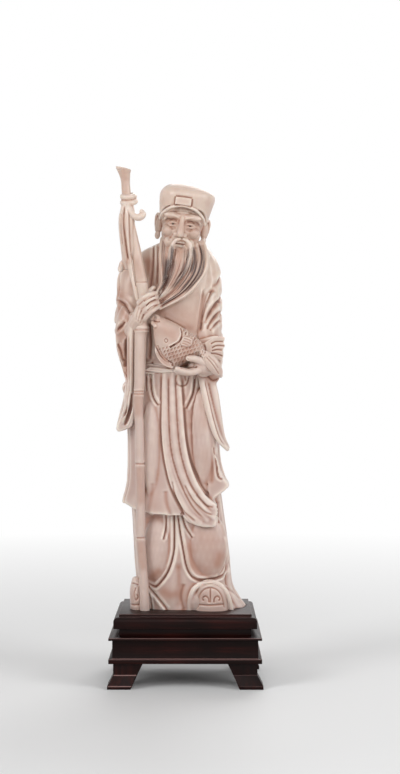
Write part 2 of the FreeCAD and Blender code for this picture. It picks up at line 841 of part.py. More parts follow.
def build_figure():
    """Every piece of the figure, by name. Later pieces are cut to seat the earlier ones."""
    lower_robe = make_lower_robe()
    tunic = make_tunic()
    torso = make_torso()
    head = make_head()
    cap = make_cap()
    beard = make_beard()
    right_hand = make_right_hand()
    left_hand = make_left_hand()
    carp = make_carp()
    lower_staff = make_staff(lower_staff_shares, False)
    upper_staff = make_staff(upper_staff_shares, True)
    bundle = make_bundle()
    cord = make_cord()
    left_shoe = make_shoe(
        on_body(left_shoe_across_share, left_shoe_forward_share, figure_base),
        (left_shoe_width, left_shoe_length, left_shoe_height),
    )
    right_shoe = make_shoe(
        on_body(right_shoe_across_share, right_shoe_forward_share, figure_base),
        (right_shoe_width, right_shoe_length, right_shoe_height),
    )
    right_sleeve = make_right_sleeve()
    right_sleeve_folds = fold_cutters(torso_base, torso_height, right_sleeve_fold_shares)
    left_sleeve = make_left_sleeve()
    left_sleeve_folds = fold_cutters(torso_base, torso_height, left_sleeve_fold_shares)
    eye_rods = make_eye_rods()

    upright = (0, 0, 1)
    inward = (0, 1, 0)
    hem_peg = rod(body_peg_diameter, body_peg_length, (axis_x, axis_y, tunic_base), upright)
    belt_peg = rod(body_peg_diameter, body_peg_length, (axis_x, axis_y, torso_base), upright)
    neck_x, neck_y, neck_z = head_place()
    neck_peg = rod(body_peg_diameter, neck_peg_length, (neck_x, neck_y, torso_top), upright)
    joint_up, joint_across, joint_deep, joint_width = lower_staff_shares[-1]
    staff_joint = on_body(joint_across, joint_deep, figure_base + joint_up * staff_height)
    staff_peg = rod(staff_peg_diameter, staff_peg_length, staff_joint, upright)
    hand_pegs = [
        hand_peg(right_hand, right_hand_depth),
        hand_peg(left_hand, left_hand_depth),
    ]
    carp_peg = hand_peg(carp, carp_thickness)
    shoe_pegs = [
        hand_peg(left_shoe, left_shoe_length),
        hand_peg(right_shoe, right_shoe_length),
    ]
    sockets = make_figure_pegs(figure_peg_clearance)

    staff = [lower_staff, upper_staff]
    robe = fitted(lower_robe, left_shoe, right_shoe, lower_staff, hem_peg, *sockets)
    robe = fitted(robe, *shoe_pegs)
    robe = fitted(robe, *fold_cutters(figure_base, lower_robe_height, robe_fold_shares))
    tunic = fitted(tunic, lower_robe, lower_staff, left_sleeve, hem_peg, belt_peg)
    hem_base = tunic_base - hem_lap
    tunic = fitted(tunic, *fold_cutters(hem_base, tunic_height + hem_lap, tunic_fold_shares))
    torso = fitted(torso, *staff, beard, carp, right_hand, left_hand, neck_peg, belt_peg)
    torso = fitted(torso, *hand_pegs, carp_peg)
    around_right_sleeve = [*staff, right_hand, tunic, torso, bundle, beard, carp, hand_pegs[0]]
    right_sleeve = fitted(right_sleeve, *around_right_sleeve)
    around_left_sleeve = [carp, left_hand, torso, beard, hand_pegs[1], carp_peg]
    pieces = {
        "lower_robe": robe,
        "tunic": tunic,
        "torso": torso,
        "right_sleeve": fitted(right_sleeve, *right_sleeve_folds),
        "left_sleeve": fitted(left_sleeve, *around_left_sleeve, *left_sleeve_folds),
        "head": fitted(head, torso, neck_peg, *eye_rods),
        "cap": fitted(cap, head),
        "beard": fitted(beard, head, carp, right_hand),
        "eye_inlays": [largest(eye.common(head)) for eye in eye_rods],
        "right_hand": fitted(right_hand, *staff, bundle, carp, hand_pegs[0], staff_peg),
        "left_hand": fitted(left_hand, carp, hand_pegs[1]),
        "carp": fitted(carp, carp_peg, *staff),
        "lower_staff": fitted(lower_staff, staff_peg),
        "upper_staff": fitted(upper_staff, staff_peg),
        "staff_bundle": fitted(bundle, *staff, cord),
        "staff_cord": fitted(cord, upper_staff),
        "left_shoe": fitted(left_shoe, shoe_pegs[0]),
        "right_shoe": fitted(right_shoe, lower_staff, shoe_pegs[1]),
        "body_pegs": [hem_peg, belt_peg],
        "neck_peg": neck_peg,
        "staff_peg": staff_peg,
        "hand_pegs": hand_pegs,
        "carp_peg": carp_peg,
        "shoe_pegs": shoe_pegs,
    }
    return pieces


def hand_peg(shape, depth):
    """A small peg that runs back out of the middle of a piece's rear side."""
    middle = shape.CenterOfMass
    place = (middle.x, middle.y + depth / 2, middle.z)
    return rod(small_peg_diameter, small_peg_length, place, (0, 1, 0))


os.makedirs("parts", exist_ok=True)
for name, shape in {**build_stand(), **build_figure()}.items():
    save(name, shape)
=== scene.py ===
import math
import random

import bmesh
import bpy
import numpy as np
from mathutils import Matrix, Vector


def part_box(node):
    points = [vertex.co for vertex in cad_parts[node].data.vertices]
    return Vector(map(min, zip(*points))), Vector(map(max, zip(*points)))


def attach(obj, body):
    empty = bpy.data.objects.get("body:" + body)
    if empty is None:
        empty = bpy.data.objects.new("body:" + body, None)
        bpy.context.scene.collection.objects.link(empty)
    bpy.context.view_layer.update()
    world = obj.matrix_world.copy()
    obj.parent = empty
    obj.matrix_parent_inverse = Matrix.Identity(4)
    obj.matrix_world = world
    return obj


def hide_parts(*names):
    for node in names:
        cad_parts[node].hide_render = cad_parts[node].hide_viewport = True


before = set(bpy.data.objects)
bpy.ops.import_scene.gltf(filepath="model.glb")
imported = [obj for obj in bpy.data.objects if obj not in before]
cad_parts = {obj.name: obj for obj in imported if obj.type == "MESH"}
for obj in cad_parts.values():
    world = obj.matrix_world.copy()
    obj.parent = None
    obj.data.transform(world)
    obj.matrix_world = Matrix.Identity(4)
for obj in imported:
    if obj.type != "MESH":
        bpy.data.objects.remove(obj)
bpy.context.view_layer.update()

# The view. The carving stands on a pale sheet and is seen level with its chest from three
# quarters of a metre, through a long lens. Forms that the photograph shows are placed by its
# pixels, counted from the top left, at a depth in metres behind (+) or before (-) the middle.
picture_width = 400
picture_height = 774
focal_pixels = 1500
film_width = 36.0
camera_place = Vector((0.0071, -0.750, 0.145))


def add_object(name, data):
    """A new object in the scene."""
    thing = bpy.data.objects.new(name, data)
    bpy.context.collection.objects.link(thing)
    return thing


camera_data = bpy.data.cameras.new("camera")
camera_data.sensor_width = film_width
camera_data.lens = focal_pixels * film_width / picture_height
camera = add_object("camera", camera_data)
camera.location = camera_place
camera.rotation_euler = (math.radians(90), 0, 0)
bpy.context.scene.camera = camera


# The pale floor keeps the carving's soft shadow and fades into a white backdrop.
# A broad lamp on each side, two weaker ones and an even surround light the carving.
floor_size = 6.0
floor_white = (1.0, 1.0, 1.0, 1.0)
floor_pale = (0.80, 0.80, 0.80, 1.0)
floor_roughness = 0.7
fade_from = 0.16
fade_to = 0.75
surround_strength = 0.24
lamp_aim = Vector((0, 0, 0.13))
lamps = (
    ("left", (-0.95, -0.75, 0.75), 0.6, 7.6),
    ("right", (1.0, -0.60, 0.60), 0.6, 6.4),
    ("front", (0.0, -1.30, 0.70), 0.8, 3.8),
    ("rim", (0.25, 1.0, 0.9), 0.8, 6.0),
)


def clay_object(name, clay):
    """A new object with the mesh of some clay, which is used up."""
    mesh = bpy.data.meshes.new(name)
    clay.to_mesh(mesh)
    clay.free()
    return add_object(name, mesh)


def feed(tree, node, values):
    """Sets each named input of a node to a value, or links it to another node's output."""
    for name, value in values.items():
        if isinstance(value, bpy.types.NodeSocket):
            tree.links.new(value, node.inputs[name])
        else:
            node.inputs[name].default_value = value


def add_node(tree, kind, values, **settings):
    """A new shader node with its settings and inputs."""
    node = tree.nodes.new("ShaderNode" + kind)
    for name, value in settings.items():
        setattr(node, name, value)
    feed(tree, node, values)
    return node


def new_material(name):
    """An empty material: its nodes, its main shader and the object's own coordinates."""
    material = bpy.data.materials.new(name)
    material.use_nodes = True
    tree = material.node_tree
    place = add_node(tree, "TexCoord", {}).outputs["Object"]
    return material, tree, tree.nodes["Principled BSDF"], place


def spread(tree, value, low, high, to_low=0.0, to_high=1.0):
    """A value stretched from one range to another and held inside it."""
    return add_node(tree, "MapRange", {
        "From Min": low, "From Max": high, "To Min": to_low, "To Max": to_high, "Value": value,
    }).outputs["Result"]


def whiteness(tree):
    """One for rays that see the backdrop straight, in a reflection or through glass."""
    ray = add_node(tree, "LightPath", {})
    value = ray.outputs["Is Camera Ray"]
    for other in ("Is Glossy Ray", "Is Transmission Ray"):
        pair = {0: value, 1: ray.outputs[other]}
        value = add_node(tree, "Math", pair, operation="MAXIMUM").outputs[0]
    return value


clay = bmesh.new()
bmesh.ops.create_grid(clay, x_segments=1, y_segments=1, size=floor_size / 2)
floor = clay_object("floor", clay)
floor_material, tree, shader, place = new_material("floor")
feed(tree, shader, {"Base Color": floor_pale, "Roughness": floor_roughness})
glow = add_node(tree, "Emission", {"Color": floor_white})
distance = add_node(tree, "VectorMath", {0: place}, operation="LENGTH").outputs["Value"]
fade = {0: spread(tree, distance, fade_from, fade_to), 1: whiteness(tree)}
share = add_node(tree, "Math", fade, operation="MULTIPLY").outputs[0]
both = {0: share, 1: shader.outputs[0], 2: glow.outputs[0]}
surface = add_node(tree, "MixShader", both).outputs[0]
feed(tree, tree.nodes["Material Output"], {"Surface": surface})
floor.data.materials.append(floor_material)

world = bpy.data.worlds.new("surround")
bpy.context.scene.world = world
world.use_nodes = True
tree = world.node_tree
surround = tree.nodes["Background"]
feed(tree, surround, {"Color": floor_white, "Strength": surround_strength})
backdrop = add_node(tree, "Background", {"Color": floor_white})
both = {0: whiteness(tree), 1: surround.outputs[0], 2: backdrop.outputs[0]}
surface = add_node(tree, "MixShader", both).outputs[0]
feed(tree, tree.nodes["World Output"], {"Surface": surface})

for lamp_name, lamp_place, lamp_size, lamp_power in lamps:
    lamp_data = bpy.data.lights.new(lamp_name, "AREA")
    lamp_data.size = lamp_size
    lamp_data.energy = lamp_power
    lamp = add_object(lamp_name, lamp_data)
    lamp.location = lamp_place
    toward = lamp_aim - Vector(lamp_place)
    lamp.rotation_euler = toward.to_track_quat("-Z", "Y").to_euler()


# The stand: a stepped stand of dark red hardwood, joined from mitred rails between a top
# board and four flared corner feet, oiled and polished. Its grain runs along each member.
wood_edge_radius = 0.00035
wood_sharp_from = math.radians(25)
wood_smooth_to = math.radians(35)
wood_weld = 1e-6
wood_flat_within = 0.01
# Eased edge faces that look up are painted pale: part wear, part painted highlight from the light
# above.
wear_highlight_up_from = 0.25
wear_highlight_skew = 0.15


def paint(red, green, blue):
    """A colour given as it shows on a screen, 0 to 255, as a shader takes it: the standard
    screen curve is undone."""
    shades = []
    for value in (red, green, blue):
        share = value / 255
        shades.append(share / 12.92 if share <= 0.04045 else ((share + 0.055) / 1.055) ** 2.4)
    return (*shades, 1.0)


wood_brown = paint(33, 9, 7)
wood_dark = paint(13, 4, 3)
wood_red = paint(62, 20, 14)
# The pale of the upward eased edges: wear and a painted highlight.
wood_wear_and_highlight = paint(150, 118, 114)
wood_streaks = ((0.30, wood_dark), (0.52, wood_brown), (0.78, wood_red))
edge_wear_and_highlight = 0.75
grain_runs = {"x": (14, 260, 260), "y": (260, 14, 260), "z": (260, 260, 14)}


def stretched(tree, place, scales):
    """The object's coordinates stretched by a factor along each axis."""
    return add_node(tree, "Mapping", {"Scale": scales, "Vector": place}).outputs["Vector"]


def noise(tree, place, scale, detail=3.0, roughness=0.5):
    """A soft noise from 0 to 1."""
    return add_node(tree, "TexNoise", {
        "Scale": scale, "Detail": detail, "Roughness": roughness, "Vector": place,
    }).outputs["Fac"]


def attribute(tree, name):
    """The values that a piece keeps in one of its own attributes."""
    return add_node(tree, "Attribute", {}, attribute_name=name).outputs["Fac"]


def ramp(tree, value, stops):
    """Colours laid along a value: each stop is a position and a colour."""
    node = add_node(tree, "ValToRGB", {"Fac": value})
    points = node.color_ramp.elements
    points[0].position, points[0].color = stops[0]
    points[1].position, points[1].color = stops[-1]
    for position, colour in stops[1:-1]:
        points.new(position).color = colour
    return node.outputs["Color"]


def blend_colours(tree, share, low, high):
    """One colour turned into another by a share from 0 to 1."""
    values = {"Factor": share, "A": low, "B": high}
    return add_node(tree, "Mix", values, data_type="RGBA").outputs["Result"]


def roughen(tree, shader, height, strength, distance):
    """Fine relief on a surface from a height."""
    values = {"Strength": strength, "Distance": distance, "Height": height}
    feed(tree, shader, {"Normal": add_node(tree, "Bump", values).outputs["Normal"]})


def dark_hardwood(direction):
    """Polished dark hardwood with its grain along one axis."""
    material, tree, shader, place = new_material("dark_hardwood_" + direction)
    along = stretched(tree, place, grain_runs[direction])
    streaks = noise(tree, along, scale=1.6, detail=5.0, roughness=0.62)
    pores = noise(tree, along, scale=5.0, detail=2.0)
    clouds = spread(tree, noise(tree, place, scale=45.0, detail=2.0), 0.35, 0.75)
    colour = blend_colours(tree, clouds, ramp(tree, streaks, wood_streaks), wood_dark)
    # Upward eased edges are turned pale: wear and painted highlight.
    wear_and_highlight_share = spread(tree, attribute(tree, "wear_and_highlight"), 0.0, 1.0, 0.0, edge_wear_and_highlight)
    feed(tree, shader, {
        "Base Color": blend_colours(tree, wear_and_highlight_share, colour, wood_wear_and_highlight),
        "Roughness": spread(tree, pores, 0.2, 0.8, 0.30, 0.50),
        "Specular IOR Level": 0.09,
        "Coat Weight": 0.04,
        "Coat Roughness": 0.22,
    })
    roughen(tree, shader, pores, strength=0.25, distance=0.0002)
    return material


def smooth_shaded(piece, material):
    """Gives a piece its material and smooth shading."""
    piece.data.materials.append(material)
    for polygon in piece.data.polygons:
        polygon.use_smooth = True


woods = {direction: dark_hardwood(direction) for direction in grain_runs}


def softened(name, node, direction):
    """A wooden member from its frame node, with its sharp edges eased. The eased faces that look up
    along a level edge are marked for a pale colour: part wear, part painted highlight where the
    light from above catches them."""
    clay = bmesh.new()
    clay.from_mesh(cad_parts[node].data)
    wear_and_highlight = clay.faces.layers.float.new("wear_and_highlight")
    bmesh.ops.remove_doubles(clay, verts=clay.verts, dist=wood_weld)
    bmesh.ops.dissolve_limit(
        clay, angle_limit=wood_flat_within, verts=clay.verts, edges=clay.edges
    )
    sharp = [edge for edge in clay.edges if edge.calc_face_angle(0.0) > wood_sharp_from]
    eased_edges = bmesh.ops.bevel(
        clay, geom=sharp, offset=wood_edge_radius, offset_type="OFFSET", segments=3,
        profile=0.5, affect="EDGES", material=-1, clamp_overlap=True,
    )
    for face in eased_edges["faces"]:
        across, deep, up = face.normal
        face[wear_and_highlight] = float(up > wear_highlight_up_from and min(abs(across), abs(deep)) < wear_highlight_skew)
    bmesh.ops.triangulate(clay, faces=[face for face in clay.faces if len(face.verts) > 4])
    piece = clay_object(name, clay)
    smooth_shaded(piece, woods[direction])
    piece.data.set_sharp_from_angle(angle=wood_smooth_to)
    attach(piece, "stand")
    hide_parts(node)


for corner in ("front_left", "front_right", "back_right", "back_left"):
    softened("bracket_foot_" + corner, "foot_" + corner, "z")
for side, direction in (("front", "x"), ("back", "x"), ("left", "y"), ("right", "y")):
    softened("moulded_rail_" + side, "plinth_rail_" + side, direction)
    softened("waist_strip_" + side, "waist_rail_" + side, direction)
softened("base_panel", "plinth_panel", "x")
softened("stepped_board", "top_board", "x")


# The dowels and the two pegs are turned from a paler wood and stay hidden in their holes.
# They keep their frame meshes and only take a fibrous material.
dowel_pale = paint(150, 108, 70)
dowel_tan = paint(112, 76, 48)


def fibrous_rods(name, low, high, runs, roughness, strength, distance, rods):
    """A material of fine upright fibres between two colours, put on some frame nodes."""
    material, tree, shader, place = new_material(name)
    fibres = noise(tree, stretched(tree, place, runs), scale=1.5)
    colour = blend_colours(tree, fibres, low, high)
    feed(tree, shader, {"Base Color": colour, "Roughness": roughness})
    roughen(tree, shader, fibres, strength, distance)
    for rod in rods:
        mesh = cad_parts[rod].data
        mesh.materials.clear()
        mesh.materials.append(material)


fibrous_rods(
    "dowel_wood", dowel_tan, dowel_pale, runs=(500, 500, 30), roughness=0.6, strength=0.3,
    distance=0.0002, rods=("foot_dowels", "waist_dowels", "figure_pegs"),
)


# The under-robe: the lowest block of the figure, carved in long smooth planes over the two
# legs, with deep curved folds between them and a raised hem over the toe of the left shoe.
figure_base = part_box("lower_robe")[0].z
# From the first height down to the second the ivory is painted darker: painted shade, as the lamps
# light the lower figure less.
low_from = 0.200
low_to = 0.125
ivory_cream = paint(218, 196, 180)
# The pale of the ridges: wear and a painted highlight.
ivory_worn_and_highlit = paint(238, 225, 213)
ivory_pink = paint(203, 175, 160)
ivory_shaded_low = paint(188, 160, 151)
# The tan of stains and patina, also used as painted shade in folds and broad hollows.
tan_stain_and_shade = paint(170, 121, 100)
stain_brown = paint(104, 67, 54)
ink_brown = paint(56, 26, 20)


def carved_ivory():
    """Old polished ivory: pinkish cream on the planes, paler on the heights from wear and a painted
    highlight, brown patina in the cuts with painted shade in the broader hollows and folds, and
    painted shade that darkens it towards the foot."""
    material, tree, shader, place = new_material("carved_ivory")
    shelter = attribute(tree, "shelter")
    clouds = noise(tree, place, scale=38.0, roughness=0.55)
    grain = noise(tree, stretched(tree, place, (420, 420, 16)), scale=1.3)
    patches = noise(tree, place, scale=120.0, detail=4.0, roughness=0.6)
    level = add_node(tree, "SeparateXYZ", {0: place}).outputs["Z"]
    surface = blend_colours(tree, spread(tree, clouds, 0.36, 0.66), ivory_cream, ivory_pink)
    layers = (  # a value, the range that turns the colour, how far it turns, and to which
        (grain, 0.35, 0.75, 0.22, ivory_pink),
        # painted shade, darker towards the foot
        (level, low_from, low_to, 0.9, ivory_shaded_low),
        (patches, 0.52, 0.78, 0.32, tan_stain_and_shade),
        # ridges paler: wear and a painted highlight
        (shelter, 0.0, -0.9, 0.75, ivory_worn_and_highlit),
        # tint marks: real stains, and painted shade in folds and shaded parts
        (attribute(tree, "tint"), 0.0, 1.0, 0.85, tan_stain_and_shade),
        # hollows: patina in the cuts, painted shade in the broad hollows
        (shelter, 0.04, 0.55, 0.8, tan_stain_and_shade),
        (shelter, 0.45, 1.2, 0.85, stain_brown),
    )
    for value, low, high, strength, colour in layers:
        share = spread(tree, value, low, high, 0.0, strength)
        surface = blend_colours(tree, share, surface, colour)
    feed(tree, shader, {
        "Base Color": blend_colours(tree, attribute(tree, "ink"), surface, ink_brown),
        "Roughness": spread(tree, shelter, -0.6, 0.8, 0.30, 0.58),
        "Subsurface Weight": 0.12,
        "Subsurface Radius": (1.0, 0.55, 0.30),
        "Subsurface Scale": 0.0012,
        "Coat Weight": 0.12,
        "Coat Roughness": 0.25,
    })
    fine = noise(tree, place, scale=1500.0, detail=2.0)
    roughen(tree, shader, fine, strength=0.10, distance=0.0001)
    return material


ivory = carved_ivory()


def at(column, row, depth):
    """The place of a pixel of the photograph at one depth."""
    scale = (depth - camera_place.y) / focal_pixels
    across = (column - picture_width / 2) * scale
    up = (picture_height / 2 - row) * scale
    return Vector((camera_place.x + across, depth, camera_place.z + up))


def curve_through(points, per_span=10):
    """A smooth line through points of any number of coordinates: a cubic from each point to
    the next, whose slope at a point follows its two neighbours."""
    points = np.asarray(points, dtype=float)
    if len(points) < 3:
        share = np.linspace(0.0, 1.0, per_span * 2)[:, None]
        return points[0] * (1 - share) + points[-1] * share
    padded = np.vstack([2 * points[0] - points[1], points, 2 * points[-1] - points[-2]])
    line = []
    for index in range(1, len(padded) - 2):
        before, start, end, after = padded[index - 1:index + 3]
        for step in range(per_span):
            t = step / per_span
            line.append(0.5 * (
                2 * start
                + (end - before) * t
                + (2 * before - 5 * start + 4 * end - after) * t ** 2
                + (3 * start - before - 3 * end + after) * t ** 3
            ))
    line.append(points[-1])
    return np.array(line)


def bridge_sections(clay, sections, around, bulge, local=Matrix()):
    """A closed form through rounded sections: left, right, front, back and level of each in a
    local frame. A bulge of 1 is an ellipse, and a smaller one comes nearer to an oblong."""
    rings = []
    for index, (left, right, front, back, level) in enumerate(sections):
        ends = index in (0, len(sections) - 1)
        ring = bmesh.ops.create_circle(clay, cap_ends=ends, radius=1.0, segments=around)["verts"]
        for vert in ring:
            across, deep = [math.copysign(abs(part) ** bulge, part) for part in vert.co[:2]]
            x = (left + right) / 2 + across * (right - left) / 2
            y = (front + back) / 2 + deep * (back - front) / 2
            vert.co = local @ Vector((x, y, level))
        members = set(ring)
        edges = {edge for vert in ring for edge in vert.link_edges}
        rings.append([edge for edge in edges if set(edge.verts) <= members])
    for lower, upper in zip(rings, rings[1:]):
        bmesh.ops.bridge_loops(clay, edges=lower + upper)


def stack(clay, rows, around=64, power=2.5, per_span=6):
    """A closed form through rounded sections: row, left and right pixel, front and back depth."""
    sections = []
    for row, left, right, front, back in curve_through(rows, per_span):
        low, high = [at(column, row, (front + back) / 2) for column in (left, right)]
        sections.append((low.x, high.x, front, back, low.z))
    bridge_sections(clay, sections, around, bulge=2 / power)


def lump(clay, place, radii, turn):
    """A rounded lump of clay with three radii, turned by a matrix."""
    matrix = Matrix.Translation(place) @ turn @ Matrix.Diagonal((*radii, 1))
    bmesh.ops.create_icosphere(clay, subdivisions=3, radius=1.0, matrix=matrix)


def pixel_lump(clay, place, radii, lean=0):
    """A lump at a pixel and a depth that leans to the viewer's right by some degrees."""
    lump(clay, at(*place), radii, Matrix.Rotation(math.radians(lean), 4, "Y"))


roll_end_angles = (math.radians(80), math.radians(55), math.radians(28))
roll_sides = 14


def roll(clay, line, flatten=1.0):
    """A tapering roll of clay with rounded ends: x, y, z and radius at each point."""
    places = [Vector(point[:3]) for point in line]
    radii = [point[3] for point in line]
    last = len(line) - 1
    steps = [(0, -math.sin(angle), math.cos(angle)) for angle in roll_end_angles]
    steps += [(index, 0.0, 1.0) for index in range(len(line))]
    steps += [(last, math.sin(angle), math.cos(angle)) for angle in reversed(roll_end_angles)]
    small = bmesh.new()
    lower = []
    run = Vector((0, 0, 1))
    turn = run.rotation_difference(run)
    for number, (index, beyond, share) in enumerate(steps):
        ahead = (places[min(index + 1, last)] - places[max(index - 1, 0)]).normalized()
        turn = run.rotation_difference(ahead) @ turn
        run = ahead
        size = radii[index] * share
        matrix = (
            Matrix.Translation(places[index] + run * beyond * radii[index])
            @ Matrix.Diagonal((1, flatten, 1, 1))
            @ turn.to_matrix().to_4x4()
            @ Matrix.Diagonal((size, size, size, 1))
        )
        ends = number in (0, len(steps) - 1)
        ring = bmesh.ops.create_circle(
            small, cap_ends=ends, radius=1.0, segments=roll_sides, matrix=matrix
        )["verts"]
        upper = list({edge for vert in ring for edge in vert.link_edges})
        if lower:
            bmesh.ops.bridge_loops(small, edges=lower + upper)
        lower = upper
    mesh = bpy.data.meshes.new("roll")
    small.to_mesh(mesh)
    small.free()
    clay.from_mesh(mesh)
    bpy.data.meshes.remove(mesh)


def limb(clay, path, flatten=1.0, per_span=6):
    """A tapering roll of clay along pixels: column, row, depth and radius at each."""
    line = []
    for column, row, depth, radius in curve_through(path, per_span):
        line.append((*at(column, row, depth), radius))
    roll(clay, line, flatten)


def slab(clay, outline, front, back, low_back=None):
    """A flat piece with the outline of some pixels, between two depths. Its back may slope
    to another depth at its lowest point."""
    verts = []
    for column, row in curve_through([*outline, outline[0]], per_span=4)[:-1]:
        verts.append(clay.verts.new(at(column, row, front)))
    face = clay.faces.new(verts)
    grown = bmesh.ops.extrude_face_region(clay, geom=[face])["geom"]
    raised = [item for item in grown if isinstance(item, bmesh.types.BMVert)]
    levels = [vert.co.z for vert in raised]
    for vert in raised:
        share = (max(levels) - vert.co.z) / (max(levels) - min(levels))
        vert.co.y = back if low_back is None else back + (low_back - back) * share


def one_skin(name, clay, grain, rounds):
    """One closed even skin over all the lumps of a piece, eased by some rounds of smoothing."""
    bmesh.ops.recalc_face_normals(clay, faces=clay.faces)
    piece = clay_object(name, clay)
    rough = piece.data
    skin = piece.modifiers.new("skin", "REMESH")
    skin.mode = "VOXEL"
    skin.voxel_size = grain
    skin.use_smooth_shade = True
    ease = piece.modifiers.new("ease", "SMOOTH")
    ease.iterations = rounds
    ease.factor = 0.5
    depsgraph = bpy.context.evaluated_depsgraph_get()
    worked = bpy.data.meshes.new_from_object(piece.evaluated_get(depsgraph))
    piece.modifiers.clear()
    piece.data = worked
    bpy.data.meshes.remove(rough)
    return piece


def read(mesh, what):
    """The places or the normals of a mesh's points, one row each."""
    values = np.zeros(len(mesh.vertices) * 3)
    mesh.vertices.foreach_get(what, values)
    return values.reshape(-1, 3)


def move(mesh, points):
    """Puts a mesh's points in new places."""
    mesh.vertices.foreach_set("co", points.ravel())
    mesh.update()


def front_view(points, normals):
    """Where points fall in the photograph, and how squarely each faces its camera."""
    away = points[:, 1] - camera_place.y
    columns = picture_width / 2 + (points[:, 0] - camera_place.x) * focal_pixels / away
    rows = picture_height / 2 - (points[:, 2] - camera_place.z) * focal_pixels / away
    return np.column_stack([columns, rows]), -normals[:, 1]


pixels_per_metre = 2000


def square_view(points, across):
    """Columns and rows at the scale of the photograph, with no perspective."""
    columns = picture_width / 2 + across * pixels_per_metre
    rows = picture_height / 2 - (points[:, 2] - camera_place.z) * pixels_per_metre
    return np.column_stack([columns, rows])


def back_view(points, normals):
    """The view from behind: columns run from the figure's left to its right."""
    return square_view(points, -points[:, 0]), normals[:, 1]


def right_view(points, normals):
    """The view from the viewer's right: columns run from the front to the back."""
    return square_view(points, points[:, 1]), normals[:, 0]


def left_view(points, normals):
    """The view from the viewer's left: columns run from the back to the front."""
    return square_view(points, -points[:, 1]), -normals[:, 0]


def near_line(plan, line, reach):
    """The points near a line, with their distance, side and share of the way along it."""
    low = line.min(axis=0) - reach
    high = line.max(axis=0) + reach
    near = np.nonzero(np.all((plan > low) & (plan < high), axis=1))[0]
    places = plan[near]
    runs = np.diff(line, axis=0)
    no_zero = 1e-9
    lengths = np.linalg.norm(runs, axis=1) + no_zero
    passed = np.concatenate([[0.0], np.cumsum(lengths)])
    squares = np.full(len(near), np.inf)
    side = np.zeros(len(near))
    along = np.zeros(len(near))
    for start, run, length, before in zip(line[:-1], runs, lengths, passed):
        away = places - start
        share = np.clip(away @ run / length ** 2, 0.0, 1.0)
        offset = away - share[:, None] * run
        square = np.einsum("ij,ij->i", offset, offset)
        closer = square < squares
        squares[closer] = square[closer]
        side[closer] = (run[0] * away[:, 1] - run[1] * away[:, 0])[closer]
        along[closer] = ((before + share * length) / passed[-1])[closer]
    return near, np.sqrt(squares), side, along


def gently(values, low, high):
    """Zero up to a low value, one from a high value, and a soft rise between."""
    share = np.clip((values - low) / (high - low), 0.0, 1.0)
    return share * share * (3 - 2 * share)


facing_limits = {back_view: (0.3, 0.8), left_view: (0.35, 0.85), right_view: (0.35, 0.85)}
facing_limits_in_front = (0.05, 0.55)
stroke_reach = 4.5
swell_from_middle = 2.0
swell_width = 1.2


def carve(piece, view, strokes, fade):
    """Cuts strokes into a piece: width in pixels, depth in metres, the swelling on the left
    and on the right of a stroke that runs down, and the pixels that it follows."""
    mesh = piece.data
    points = read(mesh, "co")
    normals = read(mesh, "normal")
    plan, facing = view(points, normals)
    seen = gently(facing, *facing_limits.get(view, facing_limits_in_front))
    moved = np.zeros(len(points))
    for width, depth, left_swell, right_swell, path in strokes:
        line = curve_through(path, per_span=6)
        near, distance, side, along = near_line(plan, line, width * stroke_reach)
        ends = gently(np.minimum(along, 1 - along), 0.0, fade)
        change = -depth * np.exp(-(distance / width) ** 2)
        swell = np.exp(-((distance - swell_from_middle * width) / (swell_width * width)) ** 2)
        change += left_swell * (swell * (side > 0)) + right_swell * (swell * (side <= 0))
        moved[near] += change * ends * seen[near]
    points += normals * moved[:, None]
    move(mesh, points)


broad_mark = 3.0
mark_reach = 3
mark_taper = (-0.05, 0.2)
mark_facing = 2


def store(mesh, name, values):
    """Stores a value for each point of a mesh in a new attribute."""
    mesh.attributes.new(name, "FLOAT", "POINT").data.foreach_set("value", values)


def mark(piece, name, spots):
    """Adds a tint or ink to a piece: strength, width in pixels and the pixels it follows. A fine
    stroke tapers at its ends, a broad mark only fades with the distance. Tints are real stains or
    painted shade."""
    mesh = piece.data
    plan, facing = front_view(read(mesh, "co"), read(mesh, "normal"))
    values = np.zeros(len(mesh.vertices))
    for strength, width, path in spots:
        line = curve_through(path, per_span=4)
        near, distance, side, along = near_line(plan, line, width * mark_reach)
        added = strength * np.exp(-(distance / width) ** 2)
        added *= np.clip(facing[near] * mark_facing, 0, 1)
        if width < broad_mark:
            added *= gently(np.minimum(along, 1 - along), *mark_taper)
        values[near] = 1 - (1 - values[near]) * (1 - np.clip(added, 0, 1))
    store(mesh, name, values)


def eased(values, edges, counts, rounds):
    """Values of a mesh's points, each moved halfway to its neighbours' mean some times over."""
    first, second = edges[:, 0], edges[:, 1]
    for turn in range(rounds):
        total = np.bincount(first, weights=values[second], minlength=len(values))
        total += np.bincount(second, weights=values[first], minlength=len(values))
        values = 0.5 * values + 0.5 * total / counts
    return values


# The near scale finds the cuts, where the patina lies; the further one finds broad hollows, which
# take painted shade.
shelter_scales = ((6, 0.00011), (60, 0.00040))
shelter_limit = 1.2


def find_shelter(piece):
    """How hollow each point lies among its neighbours, near and further: 1 in a cut, -1 on a ridge.
    The material keeps patina in the cuts, paints shade into the broader hollows and paints the
    ridges paler, as wear and a painted highlight."""
    mesh = piece.data
    points = read(mesh, "co")
    normals = read(mesh, "normal")
    edges = np.zeros(len(mesh.edges) * 2, dtype=int)
    mesh.edges.foreach_get("vertices", edges)
    edges = edges.reshape(-1, 2)
    counts = np.bincount(edges.ravel(), minlength=len(points)).astype(float)
    shelter = np.zeros(len(points))
    for rounds, scale in shelter_scales:
        smooth = [eased(points[:, axis], edges, counts, rounds) for axis in range(3)]
        rise = np.einsum("ij,ij->i", np.column_stack(smooth) - points, normals)
        shelter += 0.5 * rise / scale
    shelter = eased(np.clip(shelter, -shelter_limit, shelter_limit), edges, counts, 1)
    store(mesh, "shelter", shelter)


